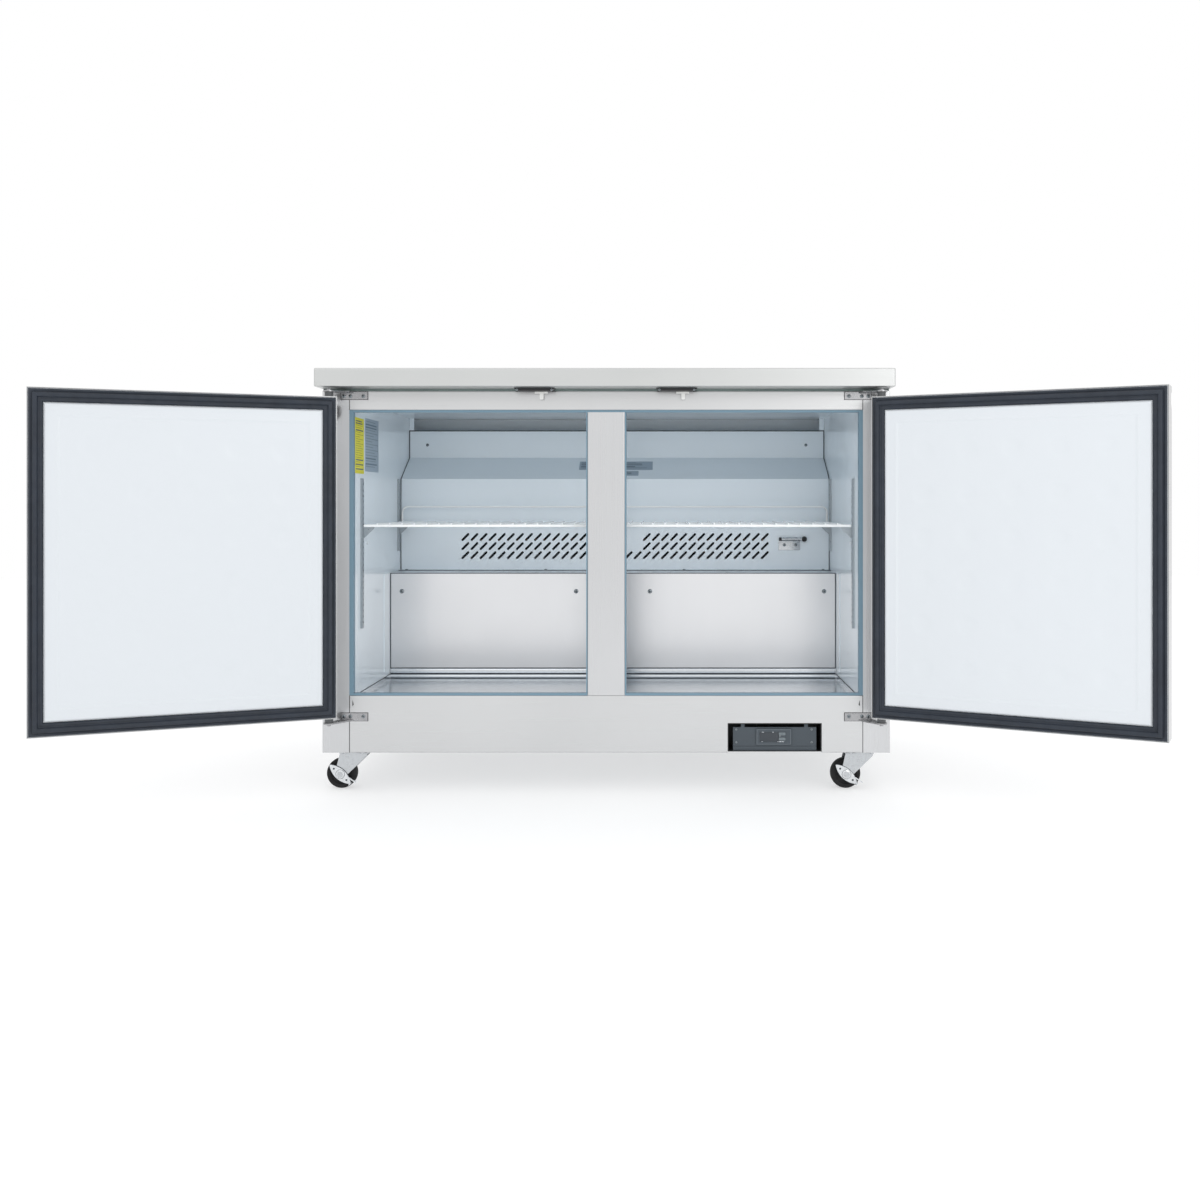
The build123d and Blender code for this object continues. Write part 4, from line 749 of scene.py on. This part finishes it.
def island_boxes(obj):
    """Centre and size of each separate solid in a node."""
    bm = bmesh.new()
    bm.from_mesh(obj.data)
    bmesh.ops.remove_doubles(bm, verts=bm.verts, dist=1e-6)
    left = set(bm.verts)
    found = []
    while left:
        group = connected(next(iter(left)))
        left.difference_update(group)
        low = Vector([min(v.co[k] for v in group) for k in range(3)])
        high = Vector([max(v.co[k] for v in group) for k in range(3)])
        found.append((low, high))
    bm.free()
    return sorted(found, key=lambda pair: tuple(round(c, 5) for c in pair[0]))


STEP_SCREW_RADIUS = 0.0055


def cabinet_screws():
    """Pan-head screws in place of the plain heads."""
    bm = bmesh.new()
    for n, (low, high) in enumerate(island_boxes(nodes["cabinet_screws"])):
        size = high - low
        middle = (low + high) / 2
        axis = min(range(3), key=lambda k: size[k])
        direction = Vector((0, 0, 0))
        if axis == 0:
            direction.x = -1 if middle.x > 0 else 1
        elif axis == 1:
            direction.y = 1 if middle.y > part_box("back_panel")[0].y else -1
        else:
            direction.z = 1
        base = middle - direction * size[axis] / 2
        radius = max(size) / 2
        if abs(low.y - (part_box("step_panel")[0].y - size.y)) < 0.001 and low.z < 0.42:
            radius = STEP_SCREW_RADIUS
        add_screw(bm, base, direction, radius, 0.4 + 0.9 * n)
    piece = make_piece("cabinet_screw_heads", bm, "cabinet", "chrome", screw_steel, plastic_black, smooth=40)
    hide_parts("cabinet_screws")


cabinet_screws()

# ---------------------------------------------------------------- coils and machine compartment


def evaporator():
    """Fin pack with end plates and return bends."""
    low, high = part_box("evaporator_coil")
    end = 0.014
    bm = bmesh.new()
    left = low.x + end + 0.002
    right = high.x - end - 0.002
    fins = int((right - left) / 0.0055)
    for n in range(fins + 1):
        x = left + (right - left) * n / fins
        add_box(bm, (x - 0.0002, low.y + 0.006, low.z + 0.006), (x + 0.0002, high.y - 0.006, high.z - 0.006))
    for x in (low.x + end, high.x - end - 0.002):
        add_box(bm, (x, low.y, low.z), (x + 0.002, high.y, high.z), 0, None, 0.0006)
    depth = high.y - low.y
    rows = [low.y + depth * part for part in (0.2, 0.5, 0.8)]
    levels = [low.z + (high.z - low.z) * (n + 0.5) / 4 for n in range(4)]
    for y in rows:
        for z in levels:
            add_tube(bm, ((low.x + 0.004, y, z), (high.x - 0.004, y, z)), 0.0048, 10, 1)
        for first, second in zip(levels[::2], levels[1::2]):
            for x, outward in ((high.x - 0.012, 1), (low.x + 0.012, -1)):
                bend = [
                    (
                        x + outward * 0.009 * sin(pi * k / 8),
                        y,
                        (first + second) / 2 - (second - first) / 2 * cos(pi * k / 8),
                    )
                    for k in range(9)
                ]
                add_tube(bm, bend, 0.0046, 10, 1)
    piece = make_piece("evaporator_fin_pack", bm, "cabinet", "coil_metal", aluminium, copper)
    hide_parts("evaporator_coil")


def condenser():
    """Fin pack of the condenser with its end plates and return bends."""
    low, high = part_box("condenser_coil")
    front = low.y + 0.014
    bm = bmesh.new()
    fins = int((high.y - front) / 0.004)
    for n in range(fins + 1):
        y = front + (high.y - front) * n / fins
        add_box(bm, (low.x + 0.001, y - 0.0002, low.z), (high.x - 0.001, y + 0.0002, high.z))
    for y in (front - 0.001, high.y - 0.0015):
        add_box(bm, (low.x, y, low.z), (high.x, y + 0.0015, high.z), 0, None, 0.0004)
    levels = [low.z + (high.z - low.z) * (n + 0.5) / 10 for n in range(10)]
    for x in (low.x + 0.016, high.x - 0.016):
        for z in levels:
            add_tube(bm, ((x, front - 0.004, z), (x, high.y - 0.001, z)), 0.0045, 10, 1)
        for first, second in zip(levels[::2], levels[1::2]):
            bend = [
                (
                    x,
                    front - 0.003 - 0.009 * sin(pi * k / 8),
                    (first + second) / 2 - (second - first) / 2 * cos(pi * k / 8),
                )
                for k in range(9)
            ]
            add_tube(bm, bend, 0.0043, 10, 1)
    piece = make_piece("condenser_fin_pack", bm, "cabinet", "coil_metal", black_paint, copper)
    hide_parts("condenser_coil")


evaporator()
condenser()

# ---------------------------------------------------------------- cabinet details


def worktop_seal():
    """Dark compressible strip between the cabinet and its worktop."""
    low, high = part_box("left_side_panel")[0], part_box("right_side_panel")[1]
    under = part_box("worktop")[0].z
    inset = 0.002
    width = 0.006
    x1, x2 = low.x + inset, high.x - inset
    y1, y2 = FACE + inset, high.y - inset
    z1, z2 = high.z, under
    bm = bmesh.new()
    for a, b in (
        ((x1, y1, z1), (x2, y1 + width, z2)),
        ((x1, y2 - width, z1), (x2, y2, z2)),
        ((x1, y1 + width, z1), (x1 + width, y2 - width, z2)),
        ((x2 - width, y1 + width, z1), (x2, y2 - width, z2)),
    ):
        add_box(bm, a, b, 0, None, 0.0008)
    make_piece("worktop_seal", bm, "cabinet", "gasket", rubber_dark)


rubber_dark = rubber("seal_teal", (0.19, 0.245, 0.235), 0.6)
worktop_seal()


def print_lines(bm, place, width, height, rows, bold, margin):
    """Short bars standing for printed lines, of uneven length; bold rows use the darker ink."""
    step = (height - 2 * margin) / rows
    for row in range(rows):
        reach = (width - 2 * margin) * (0.5 + 0.5 * abs(sin(1.7 * row + 0.6)))
        top = height / 2 - margin - row * step
        thick = step * (0.5 if row in bold else 0.26)
        start = -width / 2 + margin
        ink = 1 if row in bold else 2
        add_box(bm, (start, top - thick, 0.0002), (start + reach, top, 0.00032), ink, place)


def flat_label(name, origin, right, up, size, inks, rows, bold=(), margin=0.006):
    """Thin label with rounded corners and generic printed bars."""
    width, height = size
    corner = 0.002
    right = Vector(right).normalized()
    up = Vector(up).normalized()
    out = right.cross(up)
    place = Matrix.Translation(Vector(origin)) @ Matrix((right, up, out)).transposed().to_4x4()
    outline = []
    for cx, cy, start in (
        (width / 2 - corner, height / 2 - corner, 0),
        (-width / 2 + corner, height / 2 - corner, pi / 2),
        (-width / 2 + corner, -height / 2 + corner, pi),
        (width / 2 - corner, -height / 2 + corner, 3 * pi / 2),
    ):
        for n in range(5):
            turn = start + pi / 2 * n / 4
            outline.append((cx + corner * cos(turn), cy + corner * sin(turn)))
    bm = bmesh.new()
    add_plate(bm, outline, place, 0.00004, 0.00022)
    print_lines(bm, place, width, height, rows, bold, margin)
    return make_piece(name, bm, "cabinet", "white_plastic", *inks)


inner_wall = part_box("inner_liner")[0].x + 1.2 * MM
flat_label(
    "wall_label_yellow",
    (inner_wall, FACE + 0.0525, 0.7525),
    (0, 1, 0),
    (0, 0, 1),
    (0.078, 0.122),
    (label_yellow, print_dark, ink_yellow),
    22,
    (0, 1, 4, 17, 19, 21),
)
flat_label(
    "wall_label_grey",
    (inner_wall, FACE + 0.166, 0.758),
    (0, 1, 0),
    (0, 0, 1),
    (0.130, 0.120),
    (label_grey, print_light, ink_grey),
    17,
    (1, 2, 13, 15),
)
slope = Vector((0, COVER_UPPER_Y - COVER_LOWER_Y, SLOPE_HIGH_Z - SLOPE_LOW_Z))
slope_base = Vector((0, COVER_LOWER_Y, SLOPE_LOW_Z))
flat_label(
    "cover_label",
    slope_base + slope * 0.62,
    (1, 0, 0),
    slope,
    (0.190, 0.048),
    (label_grey, print_dark, print_light),
    5,
    (1, 3),
    0.005,
)
flat_label(
    "cover_label_lower",
    slope_base + slope * 0.26,
    (1, 0, 0),
    slope,
    (0.118, 0.026),
    (label_grey, print_dark, print_light),
    3,
    (1,),
    0.004,
)


def seams():
    """Dark lines in the compartment: sealant beads where the sheets meet, partly painted shade in those
    corners, and a painted shadow line under the step's top front edge.
    """
    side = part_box("inner_liner")[1].x - 1.2 * MM
    step_low, step_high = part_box("step_panel")
    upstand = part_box("floor_pan")[1].z
    front = step_low.y
    top = step_high.z
    edge = 0.0016
    bead = 0.0011
    bm = bmesh.new()
    # Dark strip just under the step's top front edge: painted shadow line.
    add_box(bm, (-side + edge, front - 0.0005, top - 0.0021), (side - edge, front + 0.0003, top - 0.0004))
    add_box(bm, (-side + edge, front - 0.0016, upstand), (side - edge, front + 0.0003, upstand + 0.0018))
    add_tube(bm, ((-side, COVER_FOOT_Y, top + 0.0006), (side, COVER_FOOT_Y, top + 0.0006)), 0.0010, 8)
    add_tube(bm, ((-side, COVER_UPPER_Y, COVER_TOP_Z), (side, COVER_UPPER_Y, COVER_TOP_Z)), 0.0013, 8)
    for sign in (-1, 1):
        x1, x2 = sorted((sign * (side - edge), sign * (side - edge - 0.0020)))
        add_box(bm, (x1, front - 0.0005, upstand + 0.0018), (x2, front + 0.0003, top - 0.0021))
        x = sign * (side - bead)
        add_tube(
            bm,
            (
                (x, COVER_LOWER_Y, top + 0.001),
                (x, COVER_LOWER_Y, SLOPE_LOW_Z),
                (x, COVER_UPPER_Y, SLOPE_HIGH_Z),
                (x, COVER_UPPER_Y, COVER_TOP_Z),
            ),
            bead,
            8,
        )
    make_piece("compartment_sealant_and_shade_lines", bm, "cabinet", "gasket", sealant_and_painted_shade)


def floor_edges():
    """Rolled edge of the floor pan: two beads against the step with painted shade in the creases below and
    between them, and dark beads along each wall, partly sealant and partly painted shade in the corner.
    """
    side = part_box("inner_liner")[1].x - 1.2 * MM
    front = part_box("step_panel")[0].y - 0.0012
    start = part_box("inner_liner")[0].y + 0.004
    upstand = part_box("floor_pan")[1].z
    bm = bmesh.new()
    for low, high in ((FLOOR_TOP + 0.0014, FLOOR_TOP + 0.0094), (FLOOR_TOP + 0.0124, upstand - 0.0008)):
        half = (high - low) / 2
        middle = (low + high) / 2
        outline = [(0.0022 * sin(pi * n / 10), middle - half * cos(pi * n / 10)) for n in range(11)]
        place = Matrix(((0, 0, 1, -side + 0.002), (-1, 0, 0, front), (0, 1, 0, 0), (0, 0, 0, 1)))
        add_plate(bm, outline, place, 0, 2 * side - 0.004)
    # Dark strips in the creases below and between the beads: painted shade.
    for low, high in ((FLOOR_TOP, FLOOR_TOP + 0.0014), (FLOOR_TOP + 0.0094, FLOOR_TOP + 0.0124)):
        add_box(bm, (-side + 0.002, front - 0.0004, low), (side - 0.002, front + 0.0002, high), 1)
    for sign in (-1, 1):
        x = sign * (side - 0.0008)
        add_tube(bm, ((x, start, LIP_TOP), (x, front, LIP_TOP)), 0.0009, 8, 1)
    make_piece("floor_pan_edges", bm, "cabinet", "floor_steel", steel_floor, sealant_and_painted_shade)


def front_gaps():
    """Dark joints between the front panels and the side panels, and the corner tabs behind them."""
    bm = bmesh.new()
    for name in ("lower_front_panel", "front_header"):
        low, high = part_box(name)
        for x in (low.x, high.x):
            start = (x - 0.0007, FACE - 0.0003, low.z + 0.0005)
            add_box(bm, start, (x + 0.0007, FACE + 0.0006, high.z - 0.0005))
    make_piece("front_joint_lines", bm, "cabinet", "gasket", shadow_gap)
    low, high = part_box("lower_front_panel")
    bm = bmesh.new()
    for edge, inward in ((low.x, 1), (high.x, -1)):
        x1, x2 = sorted((edge + inward * 0.0002, edge + inward * 0.0062))
        add_box(bm, (x1, FACE + 0.0003, high.z - 0.031), (x2, FACE + 0.0008, high.z - 0.0032))
    make_piece("panel_corner_tabs", bm, "cabinet", "stainless", steel_up)


def hinge_shadow_outlines():
    """Thin dark plates a little larger than the hinge plates, set behind them: painted shadow lines round
    each plate.
    """
    bm = bmesh.new()
    for sign in (-1, 1):
        x1, x2 = sorted((sign * HINGE_PLATE_X[0], sign * HINGE_PLATE_X[1]))
        for low, high in HINGE_PLATE_Z:
            start = (x1 - HINGE_SHADOW_EDGE, FACE - HINGE_SHADOW_EDGE, low - HINGE_SHADOW_EDGE)
            add_box(bm, start, (x2 + HINGE_SHADOW_EDGE, FACE - 0.0001, high + HINGE_SHADOW_EDGE))
    make_piece("hinge_shadow_outlines", bm, "cabinet", "black_steel", shadow_gap)


def rear_details():
    """Pressed hoods over the slots of the rear cover, and the angles that close its sides."""
    low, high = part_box("rear_grille")
    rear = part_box("back_panel")[1].y
    middle = (low.z + high.z) / 2 + LOUVRE_RAISE
    bm = bmesh.new()
    for column in range(-2, 3):
        for row in range(-6, 7):
            x = LOUVRE_PITCH_X * column - HOOD_LENGTH / 2
            z = middle + LOUVRE_PITCH_Z * row
            place = Matrix(((0, 0, 1, x), (1, 0, 0, high.y), (0, 1, 0, z), (0, 0, 0, 1)))
            add_plate(bm, HOOD_PROFILE, place, 0, HOOD_LENGTH)
    for sign in (-1, 1):
        x1, x2 = sorted((sign * high.x, sign * (high.x + ANGLE_SHEET)))
        add_box(bm, (x1, low.y, low.z), (x2, rear - 0.0014, high.z))
        x1, x2 = sorted((sign * (high.x - 0.012), sign * high.x))
        add_box(bm, (x1, high.y, low.z), (x2, high.y + ANGLE_SHEET, high.z), 0, None, 0.0003)
    make_piece("rear_cover_louvres", bm, "cabinet", "galvanised", galvanised)


seams()
floor_edges()
front_gaps()
hinge_shadow_outlines()
rear_details()


def probe():
    """Clamp plate, steel sheath on its two saddles and black bulb of the thermostat probe."""
    low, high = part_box("temperature_probe")
    wall = high.y
    bulb = 0.0069
    axis_z = high.z - bulb
    axis_y = low.y + bulb
    end = high.x - bulb
    bm = bmesh.new()
    add_box(bm, (low.x, wall - 0.002, low.z), (end - 0.010, wall, axis_z - 0.004), 0, None, 0.0006)
    add_box(bm, (low.x, axis_y, axis_z - 0.0062), (end - 0.010, wall, axis_z - 0.0046), 0, None, 0.0005)
    add_tube(bm, ((low.x - 0.0, axis_y, axis_z), (end, axis_y, axis_z)), 0.0036, 20, 0)
    add_tube(bm, ((low.x + 0.0002, axis_y, axis_z), (low.x + 0.007, axis_y, axis_z)), 0.0041, 20, 1)
    for x in (low.x + 0.012, end - 0.020):
        add_tube(bm, ((x - 0.002, axis_y, axis_z), (x + 0.002, axis_y, axis_z)), 0.0043, 20, 0)
    dome = [(bulb * cos(a), bulb * sin(a)) for a in (-pi / 2 + pi * n / 12 for n in range(13))]
    dome[0] = (0, -bulb)
    dome[-1] = (0, bulb)
    add_lathe(bm, dome, looking((end, axis_y, axis_z), (1, 0, 0)), 32, 1)
    piece = make_piece("probe_detail", bm, "cabinet", "chrome", chrome, plastic_black, smooth=40)
    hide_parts("temperature_probe")


probe()


def wall_plugs():
    """Small plugs in the side walls of the liner."""
    bm = bmesh.new()
    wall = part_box("inner_liner")[1].x - 1.2 * MM
    plug = ((0.0045, 0), (0.0044, 0.0008), (0.0034, 0.0018), (0.0018, 0.0024), (0, 0.0026))
    for side in (-1, 1):
        place = looking((side * wall, FACE + 0.121, 0.537), (-side, 0, 0))
        add_lathe(bm, plug, place, 24)
    make_piece("wall_plugs", bm, "cabinet", "white_plastic", liner_white)


wall_plugs()


LINE = 0.00025
CONTROLLER_MARKS = (
    (-25.5, 10.2, 1.4),
    (-23.2, 10.2, 1.4),
    (-2.6, 10.2, 2.0),
    (12.4, 2.0, 1.4),
    (8.4, -10.3, 1.2),
    (11.2, -10.3, 1.4),
    (13.6, -10.3, 2.6),
    (17.6, -10.3, 1.8),
    (20.4, -10.3, 1.2),
    (-26.0, -10.3, 1.4),
)


def controller_face():
    """Dark display window, a thin outline and small generic marks on the thermostat."""
    low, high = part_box("controller")
    front = low.y
    middle_x = (low.x + high.x) / 2
    middle_z = (low.z + high.z) / 2
    bm = bmesh.new()
    window_x = middle_x - 0.010
    add_box(
        bm,
        (window_x - 0.0205, front + 0.0001, middle_z - 0.0105),
        (window_x + 0.0205, front + 0.0009, middle_z + 0.0105),
        0,
        None,
        0.0003,
    )
    for x, z, wide in CONTROLLER_MARKS:
        add_box(
            bm,
            (middle_x + x * MM, front - 0.0001, middle_z + z * MM - 0.0006),
            (middle_x + (x + wide) * MM, front + 0.0002, middle_z + z * MM + 0.0006),
            1,
        )
    edge_x = (high.x - low.x) / 2 - 0.0022
    edge_z = (high.z - low.z) / 2 - 0.0018
    for sign in (-1, 1):
        z = middle_z + sign * edge_z
        start = (middle_x - edge_x, front - 0.0001, z - LINE)
        add_box(bm, start, (middle_x + edge_x, front + 0.0002, z + LINE), 2)
        x = middle_x + sign * edge_x
        start = (x - LINE, front - 0.0001, middle_z - edge_z)
        add_box(bm, start, (x + LINE, front + 0.0002, middle_z + edge_z), 2)
    make_piece("controller_display", bm, "cabinet", "black_plastic", display_glass, icon_white, outline_grey)
    for key, sign in (("upper", 1), ("lower", -1)):
        low_key, high_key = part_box(f"controller_key_{key}")
        middle = (low_key + high_key) / 2
        bm = bmesh.new()
        add_box(
            bm,
            (middle.x - 0.0022, low_key.y - 0.00008, middle.z - 0.0003),
            (middle.x + 0.0022, low_key.y + 0.0002, middle.z + 0.0003),
        )
        if sign > 0:
            add_box(
                bm,
                (middle.x - 0.0003, low_key.y - 0.00008, middle.z - 0.0022),
                (middle.x + 0.0003, low_key.y + 0.0002, middle.z + 0.0022),
            )
        make_piece(f"key_mark_{key}", bm, f"{key}_key", "black_plastic", print_dark)


controller_face()

# ---------------------------------------------------------------- floor


def studio_floor():
    """Pale floor disc under the object."""
    bm = bmesh.new()
    bmesh.ops.create_circle(bm, cap_ends=True, segments=96, radius=9)
    mesh = bpy.data.meshes.new("floor")
    bm.to_mesh(mesh)
    bm.free()
    pale = Shader("floor_pale", (0.52, 0.525, 0.53), 0.85)
    pale.set("Emission Color", (1, 1, 1, 1))
    pale.set("Emission Strength", 0.52)
    pale.vary_color(pale.noise(0.8, 2), 0.995, 1.0)
    mesh.materials.append(pale.material)
    floor = bpy.data.objects.new("floor", mesh)
    bpy.context.scene.collection.objects.link(floor)


studio_floor()
